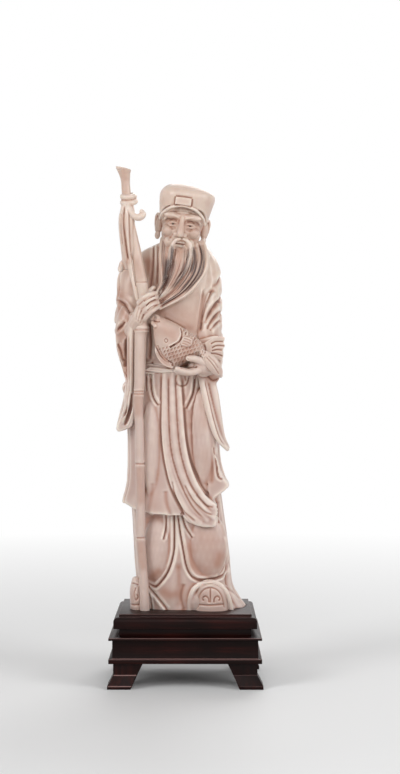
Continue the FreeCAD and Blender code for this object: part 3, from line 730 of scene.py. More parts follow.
def finish_ivory(piece, node, cuts=(), tints=(), inks=()):
    """Cuts a piece by view, strokes and fade, lets nothing of it reach below the figure's
    base, colours it and puts it on the figure in place of its block."""
    for view, strokes, fade in cuts:
        carve(piece, view, strokes, fade)
    points = read(piece.data, "co")
    points[:, 2] = np.maximum(points[:, 2], figure_base)
    move(piece.data, points)
    mark(piece, "tint", tints)
    mark(piece, "ink", inks)
    find_shelter(piece)
    piece.data.materials.clear()
    piece.data.materials.append(ivory)
    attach(piece, "figure")
    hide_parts(node)


body_grain = 0.00042
robe_rows = (
    (488, 131, 220, -0.0112, 0.0190),
    (514, 133, 223.5, -0.0118, 0.0195),
    (532, 134, 226, -0.0122, 0.0198),
    (556, 135.5, 229, -0.0125, 0.0202),
    (574, 137, 230.5, -0.0127, 0.0207),
    (586, 137.5, 233, -0.0129, 0.0212),
    (598, 138, 240, -0.0131, 0.0220),
    (605, 137, 245, -0.0132, 0.0226),
    (613, 136, 246.5, -0.0132, 0.0228),
)
toe_hem_pixels = (
    (189.5, 612, -0.0130, 0.0011), (190.5, 598, -0.0134, 0.0011), (196.5, 587, -0.0134, 0.0012),
    (209.5, 581.8, -0.0134, 0.0013), (222, 586, -0.0132, 0.0012), (228.5, 597, -0.0126, 0.0012),
    (232, 612, -0.0120, 0.0011),
)
leg_lumps = (
    ((158, 548, -0.0086), (0.0074, 0.0056, 0.0175)),
    ((207, 546, -0.0088), (0.0102, 0.0058, 0.0170)),
    ((199, 600, -0.0060), (0.0110, 0.0085, 0.0100)),
)
robe_forms = ((4.0, 0.0006, 0, 0, ((178, 560), (179, 585), (178, 612))),)
robe_folds = (
    (1.1, 0.0009, 0.0002, 0.0002, ((166.2, 512), (166.4, 527), (163.5, 541))),
    (1.35, 0.0012, 0.0005, 0.0003, ((174.6, 508), (174.8, 537), (173.7, 554), (168.5, 571),
        (160, 583), (154.5, 586.5), (147.5, 582))),
    (1.3, 0.0011, 0.0003, 0.0005, ((177.0, 508), (181, 535.4), (183.9, 552), (186.6, 566),
        (191, 575), (197, 579.3), (206, 580), (214, 578.6))),
    (1.25, 0.0009, 0.0005, 0.0003, ((227.4, 534), (228.8, 548), (228.4, 562), (225, 572),
        (218, 577.5), (209, 579.8))),
    (1.0, 0.0008, 0.0002, 0.0003, ((181.5, 514), (186, 527), (193.2, 539))),
    (1.3, 0.0011, 0.0003, 0.0002, ((147.6, 585), (155, 594), (168.5, 611))),
    (1.1, 0.0007, 0.0002, 0.0002, ((149, 592), (151, 601), (152, 612))),
    (1.0, 0.0006, 0, 0, ((224, 585), (231, 590.5), (240.5, 599.5))),
    (1.2, 0.0008, 0.0002, 0.0002, ((218.4, 500), (219.2, 512), (219.4, 524))),
    (2.2, 0.0005, 0, 0, ((184, 583), (181, 596), (184, 611))),
)
robe_back_folds = (
    (2.6, 0.0010, 0.0004, 0.0005, ((179, 460), (176, 545), (172, 590), (156, 640))),
    (2.4, 0.0011, 0.0005, 0.0003, ((196, 460), (197, 550), (199, 590), (195, 640))),
    (2.8, 0.0010, 0.0004, 0.0005, ((214, 460), (216, 545), (221, 590), (231, 640))),
    (2.0, 0.0008, 0.0003, 0.0003, ((232, 470), (234, 545), (238, 590), (246, 640))),
    (2.2, 0.0008, 0.0003, 0.0003, ((163, 470), (160, 550), (156, 590), (147, 640))),
    (1.6, 0.0006, 0.0002, 0.0002, ((187, 540), (186, 580), (181, 640))),
    (1.6, 0.0006, 0.0002, 0.0002, ((206, 545), (209, 585), (212, 640))),
)
robe_side_folds = (
    (2.4, 0.0009, 0.0004, 0.0004, ((190, 470), (191, 545), (188, 590), (182, 640))),
    (2.6, 0.0011, 0.0004, 0.0005, ((208, 460), (211, 550), (214, 590), (221, 640))),
    (2.2, 0.0008, 0.0003, 0.0003, ((226, 470), (229, 550), (232, 590), (238, 640))),
    (1.6, 0.0006, 0.0002, 0.0002, ((199, 540), (200, 580), (203, 640))),
)
# Marks on the under-robe: real stains, and one wide painted shade over the right leg.
robe_tints = (
    (0.95, 5.0, ((153, 576), (158, 572))),
    (0.85, 4.8, ((218, 564), (220, 556))),
    (0.85, 5.5, ((164, 592), (170, 595), (176, 594))),
    (0.6, 5.0, ((147, 520), (157, 519))),
    (0.5, 6.0, ((189, 548), (191, 566))),
    (0.5, 4.0, ((183, 586), (186, 600))),
    # painted shade over the right leg
    (0.35, 14.0, ((203, 530), (211, 548), (213, 562))),
    (0.5, 5.0, ((199, 566), (207, 572))),
)

clay = bmesh.new()
stack(clay, robe_rows)
for leg in leg_lumps:
    pixel_lump(clay, *leg)
limb(clay, toe_hem_pixels, flatten=0.7)
under_robe = one_skin("under_robe", clay, body_grain, rounds=8)
finish_ivory(under_robe, "lower_robe", tints=robe_tints, cuts=(
    (front_view, robe_forms, 0.16),
    (front_view, robe_folds, 0.10),
    (back_view, robe_back_folds, 0.20),
    (right_view, robe_side_folds, 0.20),
    (left_view, robe_side_folds, 0.20),
))


# The two shoes: only their domed toes show under the robe. Each toe cap is cut with a pair
# of small scrolls under an arched rim, a common ornament on cloth shoes.
def plain_cuts(width, depth, *paths):
    """Strokes of one width and depth that raise no swelling beside them."""
    return [(width, depth, 0, 0, path) for path in paths]


shoe_grain = 0.00028
left_toe_rows = (
    (583.5, 205, 215, -0.0160, -0.0090),
    (587, 199, 222, -0.0165, -0.0080),
    (593, 196.5, 226, -0.0170, -0.0060),
    (602, 195.5, 227.5, -0.0174, -0.0050),
    (612, 195, 228.5, -0.0175, -0.0050),
)
left_toe_cuts = (
    (0.9, 0.0006, 0, 0, ((197.5, 609), (198.5, 597), (203, 590), (210, 587.6), (217, 589.5),
        (222, 596), (225, 609))),
    *plain_cuts(
        0.8, 0.0006,
        ((210.3, 588), (210.3, 594), (210.2, 603)),
        ((208.8, 603), (208.2, 598.5), (205.5, 596.4), (202.8, 597.6), (202.6, 599.8),
            (204.4, 600.3)),
        ((214, 603), (214.4, 598.5), (217, 596.4), (219.6, 597.6), (219.8, 599.8), (218, 600.3)),
    ),
    (0.8, 0.0005, 0, 0, ((197.5, 604.6), (210, 605.4), (225, 604.2))),
)
right_toe_rows = (
    (577, 132.5, 139, -0.0080, -0.0010),
    (582, 131.3, 142, -0.0105, 0.0000),
    (590, 129.8, 144, -0.0125, 0.0020),
    (602, 130.2, 145, -0.0130, 0.0030),
    (612, 130.5, 146, -0.0130, 0.0030),
)
right_toe_cuts = (
    (0.9, 0.0006, 0, 0, ((130, 583.5), (134, 583), (139, 584.5))),
    *plain_cuts(
        0.8, 0.0005,
        ((136, 587), (134, 594), (136, 600), (138.5, 597), (137, 594)),
        ((129.5, 604), (134, 605), (140, 604.6)),
    ),
)
toe_tint = 0.45
toe_tint_width = 9.0
toe_tint_inset = 6
toe_tint_rows = (597, 600)


def make_toe(name, rows, cuts, node):
    """The domed toe of one shoe, with its cut ornament and a stain across its middle."""
    clay = bmesh.new()
    stack(clay, rows, around=40, power=2.2)
    toe = one_skin(name, clay, shoe_grain, rounds=4)
    row, left, right, front, back = rows[2]
    columns = (left + toe_tint_inset, right - toe_tint_inset)
    stain = tuple(zip(columns, toe_tint_rows))
    tints = ((toe_tint, toe_tint_width, stain),)
    finish_ivory(toe, node, cuts=((front_view, cuts, 0.05),), tints=tints)


make_toe("left_shoe_toe", left_toe_rows, left_toe_cuts, "left_shoe")
make_toe("right_shoe_toe", right_toe_rows, right_toe_cuts, "right_shoe")


# The tunic: knee length, tied high at the waist, its loose hem blown to one side. The long
# sash falls down the front in a bundle of narrow folds that swing across to the right.
tunic_grain = 0.00044
tunic_rows = (
    (364, 132, 212, -0.0126, 0.0172),
    (376, 130.8, 213, -0.0130, 0.0180),
    (388, 129, 213.5, -0.0134, 0.0195),
    (400, 128.5, 213.5, -0.0139, 0.0201),
    (412, 128, 215, -0.0143, 0.0207),
    (424, 128, 217, -0.0146, 0.0211),
    (436, 128.5, 218.5, -0.0149, 0.0214),
    (448, 128.8, 219, -0.0151, 0.0217),
    (460, 129, 220, -0.0153, 0.0220),
    (472, 128.6, 223, -0.0156, 0.0222),
    (482, 127.8, 227, -0.0158, 0.0224),
    (490, 126.0, 228.5, -0.0160, 0.0225),
    (500, 123.5, 226, -0.0161, 0.0226),
    (514, 124.5, 224, -0.0161, 0.0226),
    (530, 126, 222, -0.0160, 0.0225),
)
hem_pixels = (
    (118, 499), (123.6, 502.5), (128.5, 504.5), (133, 508.5), (139, 511), (145.5, 512.3),
    (154, 514.8), (162.6, 514.2), (170, 516), (176.5, 518), (183, 516.2), (192, 514), (202, 508),
    (209.7, 504), (214.3, 497.8), (221, 491), (228.2, 485.6), (236, 482),
)
sash_strands = (
    ((165.0, 372, -0.0128, 0.0012), (165.0, 405, -0.0141, 0.0015), (165.2, 435, -0.0149, 0.0016),
        (168, 459, -0.0155, 0.0017), (175.5, 486, -0.0161, 0.0018), (189, 512, -0.0166, 0.0019),
        (200, 522.5, -0.0164, 0.0017)),
    ((172.5, 373, -0.0130, 0.0011), (172.5, 405, -0.0144, 0.0014), (174, 435, -0.0151, 0.0015),
        (177.5, 459, -0.0157, 0.0016), (184.5, 481, -0.0163, 0.0017), (197, 502, -0.0167, 0.0018),
        (213.5, 517.5, -0.0162, 0.0016)),
    ((178.5, 374, -0.0129, 0.0010), (180.5, 410, -0.0144, 0.0013), (183.2, 441, -0.0152, 0.0014),
        (188, 466, -0.0158, 0.0015), (197, 488, -0.0163, 0.0016), (207.5, 502.5, -0.0165, 0.0016),
        (215.5, 509.5, -0.0160, 0.0013)),
    ((183, 505, -0.0160, 0.0018), (193, 519.5, -0.0163, 0.0019), (204, 524.3, -0.0161, 0.0015),
        (214, 525.3, -0.0157, 0.0011)),
)
cascade_pixels = (
    (185, 503), (186, 512), (183.6, 516.6), (188, 522), (193.4, 523.8), (202.4, 524.8),
    (210.5, 523.2), (215.5, 526.2), (216.4, 520.4), (214.6, 516.6), (217.6, 513.2), (214.4, 509),
    (216.8, 505.6), (211.5, 500.5), (203, 494), (194, 492),
)
cascade_depths = (-0.0166, -0.0120)
hem_flap_pixels = (
    (213.5, 452), (217, 460), (220, 470), (224, 478), (228.6, 485.5), (225, 489.8), (220, 494.2),
    (214.6, 497.4), (211.2, 503.2), (209, 500), (208, 480), (210, 464),
)
hem_flap_depths = (-0.0142, 0.0030)
thigh_lumps = (
    ((203, 440, -0.0112), (0.0066, 0.0052, 0.0260)),
    ((152, 455, -0.0108), (0.0058, 0.0052, 0.0300)),
)
tunic_folds = (
    (1.2, 0.0010, 0.0003, 0.0005, ((150.5, 370), (151.6, 388), (154.2, 398.5), (159.2, 406))),
    (1.2, 0.0009, 0.0005, 0.0003, ((195.5, 372), (193.6, 391), (190, 401), (185.8, 410))),
    (1.2, 0.0006, 0, 0, ((161.2, 372), (160.9, 405), (161.0, 432.5), (163.7, 459), (170.6, 488),
        (181.5, 510), (188, 519))),
    *plain_cuts(
        1.1, 0.0006,
        ((168.6, 372), (168.6, 405), (169.6, 435), (172.4, 457), (180, 482), (192, 506),
            (206, 521)),
        ((175.6, 374), (176.5, 405), (178.6, 438), (182.6, 461), (191, 485), (203, 502),
            (214, 513.5)),
    ),
    (1.2, 0.0006, 0, 0, ((182.6, 376), (184.6, 410), (186.8, 438), (191.6, 462), (201, 484),
        (211, 498))),
    *plain_cuts(
        1.0, 0.0005,
        ((171.8, 480), (176, 496), (185, 512), (196, 522)),
        ((184, 484), (193, 500), (205, 512), (214, 515)),
        ((196, 494), (206, 505), (214, 507.5)),
    ),
    (0.9, 0.0006, 0.0002, 0.0002, ((146.8, 372), (146.4, 382), (147, 392))),
    (0.8, 0.0006, 0, 0, ((176.6, 374), (176.2, 381), (179.4, 385.5), (186.6, 384.4), (189.6, 375))),
    (0.8, 0.0004, 0, 0, ((184.6, 374), (186, 381))),
    (1.0, 0.0006, 0.0002, 0.0003, ((214.6, 446), (216.2, 464), (218, 476.5), (223.5, 480))),
    (2.4, 0.0004, 0, 0, ((206, 408), (211.5, 436), (213.5, 462), (211, 486))),
    (2.4, 0.0003, 0, 0, ((152.5, 482), (151, 498), (147, 514))),
    (2.4, 0.0004, 0, 0, ((165.5, 490), (167, 504), (172, 519))),
)
tunic_back_folds = (
    (2.8, 0.0011, 0.0005, 0.0003, ((165, 352), (163, 410), (158, 470), (152, 560))),
    (2.4, 0.0010, 0.0004, 0.0005, ((181, 352), (183, 415), (180, 475), (174, 560))),
    (3.0, 0.0012, 0.0005, 0.0005, ((199, 345), (202, 420), (204, 480), (201, 560))),
    (2.4, 0.0010, 0.0005, 0.0004, ((215, 352), (222, 415), (226, 475), (230, 560))),
    (2.2, 0.0009, 0.0003, 0.0004, ((232, 352), (240, 415), (246, 475), (253, 560))),
    (1.8, 0.0006, 0.0003, 0.0003, ((208, 352), (211, 400), (213, 460))),
    (1.8, 0.0006, 0.0003, 0.0003, ((190, 352), (191, 400), (190, 450))),
    (1.8, 0.0006, 0.0003, 0.0003, ((191, 470), (189, 505), (186, 560))),
    (1.8, 0.0006, 0.0003, 0.0003, ((214, 460), (215, 500), (218, 560))),
)
tunic_side_folds = (
    (2.4, 0.0009, 0.0004, 0.0004, ((188, 352), (184, 420), (182, 475), (180, 560))),
    (2.8, 0.0011, 0.0005, 0.0005, ((202, 350), (204, 420), (206, 480), (208, 560))),
    (2.4, 0.0009, 0.0004, 0.0004, ((217, 352), (223, 420), (227, 480), (232, 560))),
    (1.8, 0.0006, 0.0003, 0.0003, ((195, 440), (194, 480), (194, 560))),
)
# Painted shade along the folds and over the shaded right side of the tunic.
tunic_painted_shade = (
    (0.5, 5.0, ((148, 380), (149, 395))),
    (0.45, 5.0, ((199, 392), (203, 410), (205, 425))),
    (0.35, 7.0, ((205, 455), (209, 480))),
    (0.4, 5.0, ((186, 400), (189, 425))),
    (0.35, 6.0, ((148, 490), (153, 505))),
)


def trim_below(clay, line):
    """Lifts all that hangs below a line of pixels up to that line."""
    columns, rows = zip(*line)
    for vert in clay.verts:
        scale = (vert.co.y - camera_place.y) / focal_pixels
        column = picture_width / 2 + (vert.co.x - camera_place.x) / scale
        lowest = camera_place.z + (picture_height / 2 - np.interp(column, columns, rows)) * scale
        vert.co.z = max(vert.co.z, lowest)


clay = bmesh.new()
stack(clay, tunic_rows, around=128)
trim_below(clay, hem_pixels)
slab(clay, hem_flap_pixels, *hem_flap_depths)
for thigh in thigh_lumps:
    pixel_lump(clay, *thigh)
slab(clay, cascade_pixels, *cascade_depths)
for strand in sash_strands:
    limb(clay, strand, flatten=0.55)
for first, second in zip(sash_strands[:2], sash_strands[1:3]):
    limb(clay, (np.array(first) + np.array(second)) / 2, flatten=0.45)
knee_tunic = one_skin("knee_tunic", clay, tunic_grain, rounds=4)
finish_ivory(knee_tunic, "tunic", tints=tunic_painted_shade, cuts=(
    (front_view, tunic_folds, 0.08),
    (back_view, tunic_back_folds, 0.20),
    (right_view, tunic_side_folds, 0.20),
    (left_view, tunic_side_folds, 0.20),
))


# The upper body: chest, shoulders and neck, with the crossed front of the robe and the flat
# belt that ties it. The sleeves and the head are pegged to this block.
torso_rows = (
    (240, 166, 198, -0.0060, 0.0070),
    (244, 157.5, 203, -0.0075, 0.0090),
    (248, 149, 205.5, -0.0085, 0.0110),
    (252, 142, 208, -0.0092, 0.0128),
    (260, 136, 213, -0.0100, 0.0158),
    (272, 133.5, 217, -0.0105, 0.0183),
    (290, 132, 217, -0.0113, 0.0200),
    (310, 132, 215, -0.0122, 0.0208),
    (330, 132, 213, -0.0128, 0.0205),
    (350, 132, 212, -0.0129, 0.0197),
    (362, 131.5, 213, -0.0128, 0.0190),
    (373, 131, 214, -0.0130, 0.0192),
    (380, 131.5, 213, -0.0122, 0.0190),
)
belt_pixels = (
    (131, 368.5, -0.0080, 0.0018), (140, 369.5, -0.0122, 0.0019), (161, 370.8, -0.0129, 0.0019),
    (180, 370.4, -0.0129, 0.0019), (205, 369, -0.0118, 0.0019), (212, 368, -0.0080, 0.0018),
)
torso_folds = (
    (1.3, 0.0006, 0.0002, 0.0003, ((153.5, 243), (153, 262), (151.5, 280), (148, 296))),
    (1.2, 0.0005, 0.0002, 0.0002, ((142, 262), (145, 276), (147, 290))),
    (1.0, 0.0005, 0.0002, 0.0002, ((158, 244), (158, 262), (157, 286))),
    (1.1, 0.0008, 0.0003, 0.0003, ((203.2, 243), (206.2, 250), (207.5, 258))),
    (1.8, 0.0011, 0.0003, 0.0005, ((205, 288), (202.6, 308), (199, 334))),
    (1.5, 0.0005, 0.0002, 0.0002, ((163, 318), (174, 324), (186, 330))),
    (1.2, 0.0010, 0.0002, 0.0002, ((144, 368.5), (148, 366), (153.5, 362.5))),
    (1.0, 0.0010, 0.0002, 0.0002, ((143, 371.6), (161, 374.2), (177, 372.6))),
    (1.0, 0.0008, 0.0002, 0.0002, ((143, 364.5), (160, 366.4), (172, 368))),
    (1.6, 0.0007, 0.0003, 0.0003, ((149, 322), (150.5, 342), (149, 360))),
)
torso_back_folds = (
    (1.5, 0.0012, 0.0004, 0.0004, ((176, 250), (190, 262), (206, 262), (224, 252))),
    (2.0, 0.0011, 0.0004, 0.0004, ((206, 268), (206, 300), (204, 335), (203, 362))),
    (2.0, 0.0010, 0.0004, 0.0004, ((178, 285), (182, 315), (184, 345), (186, 362))),
    (2.0, 0.0010, 0.0004, 0.0004, ((236, 285), (230, 315), (226, 345), (222, 362))),
    (1.2, 0.0010, 0.0003, 0.0003, ((160, 366), (200, 367), (255, 366))),
    (1.2, 0.0010, 0.0003, 0.0003, ((160, 374), (200, 375), (255, 374))),
)
# Painted shade in the creases, under the beard and along the carp's edge on the chest.
torso_painted_shade = (
    (0.9, 5.5, ((149, 262), (151, 276), (154, 290))),
    (0.8, 4.5, ((160, 312), (175, 322), (190, 328))),
    (0.8, 4.0, ((203, 296), (201, 312), (198, 330))),
    (0.5, 5.0, ((148, 330), (149, 350), (150, 366))),
    (0.35, 7.0, ((176, 310), (190, 318))),
)

clay = bmesh.new()
stack(clay, torso_rows)
limb(clay, belt_pixels, flatten=0.55)
chest = one_skin("chest_and_shoulders", clay, body_grain, rounds=6)
finish_ivory(chest, "torso", tints=torso_painted_shade, cuts=(
    (front_view, torso_folds, 0.10),
    (back_view, torso_back_folds, 0.10),
))


# The right sleeve: a wide scholar's sleeve that hangs from the raised forearm behind the
# staff to a point. Its cuff is a long roll down the edge.
right_arm_pixels = (
    (144, 268, 0.0045, 0.0066), (137.5, 274, 0.0040, 0.0080), (135.5, 282, 0.0035, 0.0090),
    (134.5, 300, 0.0025, 0.0088), (132.5, 320, 0.0010, 0.0089), (133.5, 340, -0.0005, 0.0086),
)
right_elbow = ((126.5, 324, -0.0050), (0.0054, 0.0078, 0.0110), 8)
right_drape_pixels = (
    (118, 322), (115.4, 334), (117, 350), (120.5, 363), (123.8, 374), (126, 383), (124.4, 397),
    (121, 412), (116.6, 426.5), (117.4, 431.5), (122, 431), (128, 428.6), (133, 423), (134, 400),
    (135, 360), (134, 325),
)
right_cuff_pixels = (
    (133.0, 316, -0.0150, 0.0020), (130.8, 335, -0.0150, 0.0019), (130.6, 360, -0.0140, 0.0018),
    (130.4, 385, -0.0125, 0.0017), (128.0, 405, -0.0110, 0.0016), (120.4, 427, -0.0095, 0.0013),
)
right_tuft_pixels = (
    (126.5, 384, -0.0030, 0.0016), (124.9, 391, -0.0030, 0.0014), (126.8, 396, -0.0030, 0.0012),
)
right_sleeve_folds = (
    (1.5, 0.0013, 0.0004, 0.0004, ((116, 299.5), (121, 302), (126.5, 306.5), (133, 316))),
    (1.6, 0.0011, 0.0005, 0.0003, ((114, 331), (117.5, 329.5), (121.5, 326), (125, 321))),
    (1.3, 0.0010, 0.0003, 0.0003, ((117.5, 343), (121, 351), (124, 362))),
    (1.3, 0.0012, 0.0003, 0.0003, ((126.4, 338), (125.9, 352), (125.3, 368))),
    (1.2, 0.0012, 0.0002, 0, ((128.0, 334), (128.0, 360), (128.2, 385), (127.2, 404),
        (122.5, 420))),
    (1.2, 0.0010, 0.0002, 0.0002, ((132.6, 392), (131.4, 404), (128, 416), (124.5, 426))),
    (2.6, 0.0003, 0.0001, 0.0001, ((131, 262), (124.5, 276), (120.5, 292))),
    (2.6, 0.0004, 0.0001, 0.0001, ((138, 262), (134, 280), (131.5, 298))),
    (1.0, 0.0008, 0, 0, ((124, 372), (126.5, 377), (128.5, 384))),
)
right_sleeve_side_folds = (
    (2.8, 0.0013, 0.0005, 0.0005, ((170, 282), (188, 299), (208, 314))),
    (2.6, 0.0012, 0.0005, 0.0005, ((168, 322), (188, 327), (214, 323))),
    (2.6, 0.0011, 0.0004, 0.0004, ((172, 340), (185, 362), (200, 378), (218, 386))),
    (2.2, 0.0009, 0.0004, 0.0004, ((184, 334), (196, 352), (216, 364))),
    (2.4, 0.0010, 0.0004, 0.0004, ((210, 362), (216, 385), (222, 405), (227, 434))),
    (2.2, 0.0008, 0.0004, 0.0004, ((198, 366), (205, 390), (213, 412), (219, 432))),
    (2.4, 0.0008, 0.0004, 0.0004, ((194, 256), (202, 280), (205, 302))),
)
# Painted shade in the folds, over the shaded drape and under the bundle's edge.
right_sleeve_painted_shade = (
    (0.8, 3.5, ((118, 331), (122, 327))),
    (0.9, 9.0, ((118, 296), (125, 314))),
    (0.6, 8.0, ((121, 336), (124, 372))),
    (0.5, 3.0, ((125, 345), (125, 372))),
    (0.6, 4.0, ((130, 268), (132, 285))),
)

clay = bmesh.new()
limb(clay, right_arm_pixels, flatten=1.25)
pixel_lump(clay, *right_elbow)
slab(clay, right_drape_pixels, front=-0.0120, back=0.0100, low_back=-0.0040)
limb(clay, right_cuff_pixels, flatten=1.6)
limb(clay, right_tuft_pixels)
right_sleeve = one_skin("staff_arm_sleeve", clay, body_grain, rounds=10)
finish_ivory(right_sleeve, "right_sleeve", tints=right_sleeve_painted_shade, cuts=(
    (front_view, right_sleeve_folds, 0.10),
    (left_view, right_sleeve_side_folds, 0.35),
))


# The left sleeve: it wraps the arm under the carp and ends in a long tail of two strands
# that swings to the right over the tunic.
left_arm_pixels = (
    (200, 258, 0.0040, 0.0066), (204, 270, 0.0035, 0.0080), (204.8, 285, 0.0030, 0.0084),
    (205.3, 305, 0.0020, 0.0084), (205.3, 325, 0.0005, 0.0084), (206.5, 342, -0.0030, 0.0084),
    (208, 356, -0.0080, 0.0074),
)
left_forearm_pixels = (
    (211, 350, -0.0060, 0.0066), (208, 358, -0.0110, 0.0066), (206, 364, -0.0160, 0.0056),
    (204, 368, -0.0180, 0.0046),
)
left_drape_pixels = (
    (198, 340), (197, 360), (199, 374), (206, 381), (213, 384), (218, 381), (221, 372), (223, 350),
    (218, 336),
)
tail_strands = (
    ((201, 373, -0.0140, 0.0020), (206, 396, -0.0150, 0.0021), (211.5, 418, -0.0150, 0.0021),
        (218, 437, -0.0140, 0.0018), (227.4, 449.2, -0.0120, 0.0011)),
    ((208, 370, -0.0125, 0.0022), (214.3, 394, -0.0135, 0.0022), (218.2, 416, -0.0135, 0.0019),
        (222.4, 436, -0.0125, 0.0014), (228, 447.6, -0.0112, 0.0010)),
)
left_sleeve_folds = (
    (1.8, 0.0009, 0.0003, 0.0004, ((215.5, 289), (210.5, 292.5), (206, 300), (203, 312),
        (199.5, 332))),
    (1.8, 0.0009, 0.0004, 0.0004, ((221, 300), (215.5, 305), (209, 313.5), (204, 325))),
    (1.7, 0.0008, 0.0004, 0.0004, ((221.5, 310), (216, 315), (210.5, 322), (207, 330))),
    (1.5, 0.0006, 0.0004, 0.0003, ((221, 320), (215.5, 324), (209.5, 331))),
    (0.9, 0.0007, 0, 0, ((204.5, 378), (209.6, 400), (214.2, 420), (220, 438), (226, 447))),
    (1.2, 0.0008, 0, 0, ((206, 374), (212, 380), (219, 379))),
)
left_sleeve_side_folds = (
    (2.6, 0.0009, 0.0003, 0.0003, ((178, 294), (200, 279), (226, 266))),
    (2.6, 0.0009, 0.0003, 0.0003, ((182, 307), (206, 295), (232, 288))),
    (2.4, 0.0009, 0.0003, 0.0003, ((184, 320), (208, 311), (232, 308))),
    (2.4, 0.0008, 0.0003, 0.0003, ((186, 333), (208, 330), (230, 331))),
    (2.4, 0.0008, 0.0003, 0.0003, ((180, 354), (198, 347), (210, 350), (226, 357))),
    (2.0, 0.0006, 0.0003, 0.0003, ((184, 372), (198, 365), (208, 364), (220, 370))),
)
# Painted shade in the folds, the armpit crease, behind the carp's tail and under the drape.
left_sleeve_painted_shade = (
    (0.85, 3.5, ((203, 296), (201, 315), (198, 332))),
    (0.8, 2.6, ((216, 289), (210, 293), (205, 304))),
    (0.75, 2.8, ((221, 301), (214, 307), (208, 317))),
    (0.65, 2.6, ((221, 311), (214.5, 317), (209, 326))),
    (0.75, 6.0, ((200, 340), (208, 346), (218, 352))),
    (0.9, 4.0, ((210, 378), (218, 380))),
)

clay = bmesh.new()
limb(clay, left_arm_pixels, flatten=1.3)
limb(clay, left_forearm_pixels)
slab(clay, left_drape_pixels, front=-0.0150, back=0.0085, low_back=0.0)
for strand in tail_strands:
    limb(clay, strand, flatten=0.9)
left_sleeve = one_skin("carp_arm_sleeve", clay, body_grain, rounds=8)
finish_ivory(left_sleeve, "left_sleeve", tints=left_sleeve_painted_shade, cuts=(
    (front_view, left_sleeve_folds, 0.10),
    (right_view, left_sleeve_side_folds, 0.35),
))


# The head: one block with the ears and the neck, cut to a calm, even old face. Its parts
# are placed by the usual thirds of a face, in metres from the middle of the head.
head_grain = 0.00024
head_centre = at(182, 226, -0.0030)
head_lean = math.radians(8)
head_nod = math.radians(5)
head_frame = (
    Matrix.Translation(head_centre)
    @ Matrix.Rotation(head_lean, 4, "Y")
    @ Matrix.Rotation(head_nod, 4, "X")
)
eye_apart = 0.0042
eye_level = 0.0006
skull_lumps = (
    ((0, 0.0010, 0.0040), (0.0112, 0.0128, 0.0130)),
    ((0, -0.0035, -0.0030), (0.0098, 0.0088, 0.0112)),
    ((0, -0.0060, -0.0108), (0.0066, 0.0062, 0.0050)),
    ((0, 0.0040, -0.0080), (0.0092, 0.0100, 0.0090)),
)
paired_lumps = (
    ((0.0058, -0.0088, -0.0032), (0.0036, 0.0027, 0.0029)),
    ((0.0045, -0.0104, 0.0044), (0.0048, 0.0020, 0.0017)),
    ((0.0020, -0.0134, -0.0046), (0.0014, 0.0015, 0.0012)),
    ((eye_apart, -0.0092, eye_level), (0.0024, 0.0021, 0.0015)),
    ((0.0045, -0.0088, -0.0085), (0.0030, 0.0026, 0.0030)),
    ((0.0112, 0.0006, -0.0006), (0.0020, 0.0024, 0.0046)),
    ((0.0115, -0.0002, -0.0060), (0.0014, 0.0014, 0.0022)),
)
nose_line = (
    (0, -0.0112, 0.0038, 0.0011), (0, -0.0125, 0.0008, 0.0012), (0, -0.0143, -0.0028, 0.0016),
    (0, -0.0146, -0.0042, 0.0017),
)
ear_line = (
    (0.0110, -0.0012, -0.0010, 0.0006), (0.0114, -0.0008, 0.0026, 0.0007),
    (0.0124, 0.0006, 0.0044, 0.0008), (0.0133, 0.0020, 0.0030, 0.0008),
    (0.0132, 0.0020, -0.0004, 0.0007), (0.0124, 0.0010, -0.0040, 0.0007),
)
neck_line = ((0, 0.0030, -0.0060, 0.0070), (0, 0.0050, -0.0170, 0.0072))
upper_lid = (
    (-0.0024, 0, -0.0004), (-0.0011, -0.0004, 0.0004), (0.0006, -0.0004, 0.0005),
    (0.0024, 0.0009, -0.0005),
)
lower_lid = (
    (-0.0022, 0.0001, -0.0006), (-0.0009, -0.0002, -0.0011), (0.0008, -0.0002, -0.0012),
    (0.0022, 0.0009, -0.0008),
)
lid_radius = 0.00044
lid_forward = -0.01115
lips = (
    ((0, -0.0119, -0.0083), (0.0030, 0.0013, 0.0008)),
    ((0, -0.0116, -0.0099), (0.0025, 0.0013, 0.0009)),
)
brow_arch = (
    (0.0014, -0.0114, 0.0032, 0.0006), (0.0044, -0.0121, 0.0044, 0.0008),
    (0.0076, -0.0098, 0.0034, 0.0007), (0.0092, -0.0074, 0.0016, 0.0005),
)
head_tints = ((0.5, 10.0, ((170, 225), (195, 232))),)
millimetres = 1000


def head_lump(clay, place, radii):
    """A lump of clay placed in the head's own frame."""
    lump(clay, head_frame @ Vector(place), radii, head_frame.to_3x3().to_4x4())


def head_roll(clay, path):
    """A tapering roll of clay placed in the head's own frame."""
    line = []
    for x, y, z, radius in curve_through(path, per_span=6):
        line.append((*(head_frame @ Vector((x, y, z))), radius))
    roll(clay, line)


def mirrored(path):
    """The same path on the other side of the head."""
    return [(-point[0], *point[1:]) for point in path]


def face_view(points, normals):
    """Millimetres across and down from the middle of the head, seen square on."""
    turn = np.array(head_frame.to_3x3())
    local = (points - np.array(head_centre)) @ turn
    facing = -(normals @ turn)[:, 1]
    return np.column_stack([local[:, 0], -local[:, 2]]) * millimetres, facing


def paired_cuts(width, depth, path):
    """A plain stroke on both sides of the face."""
    return plain_cuts(width, depth, mirrored(path), path)


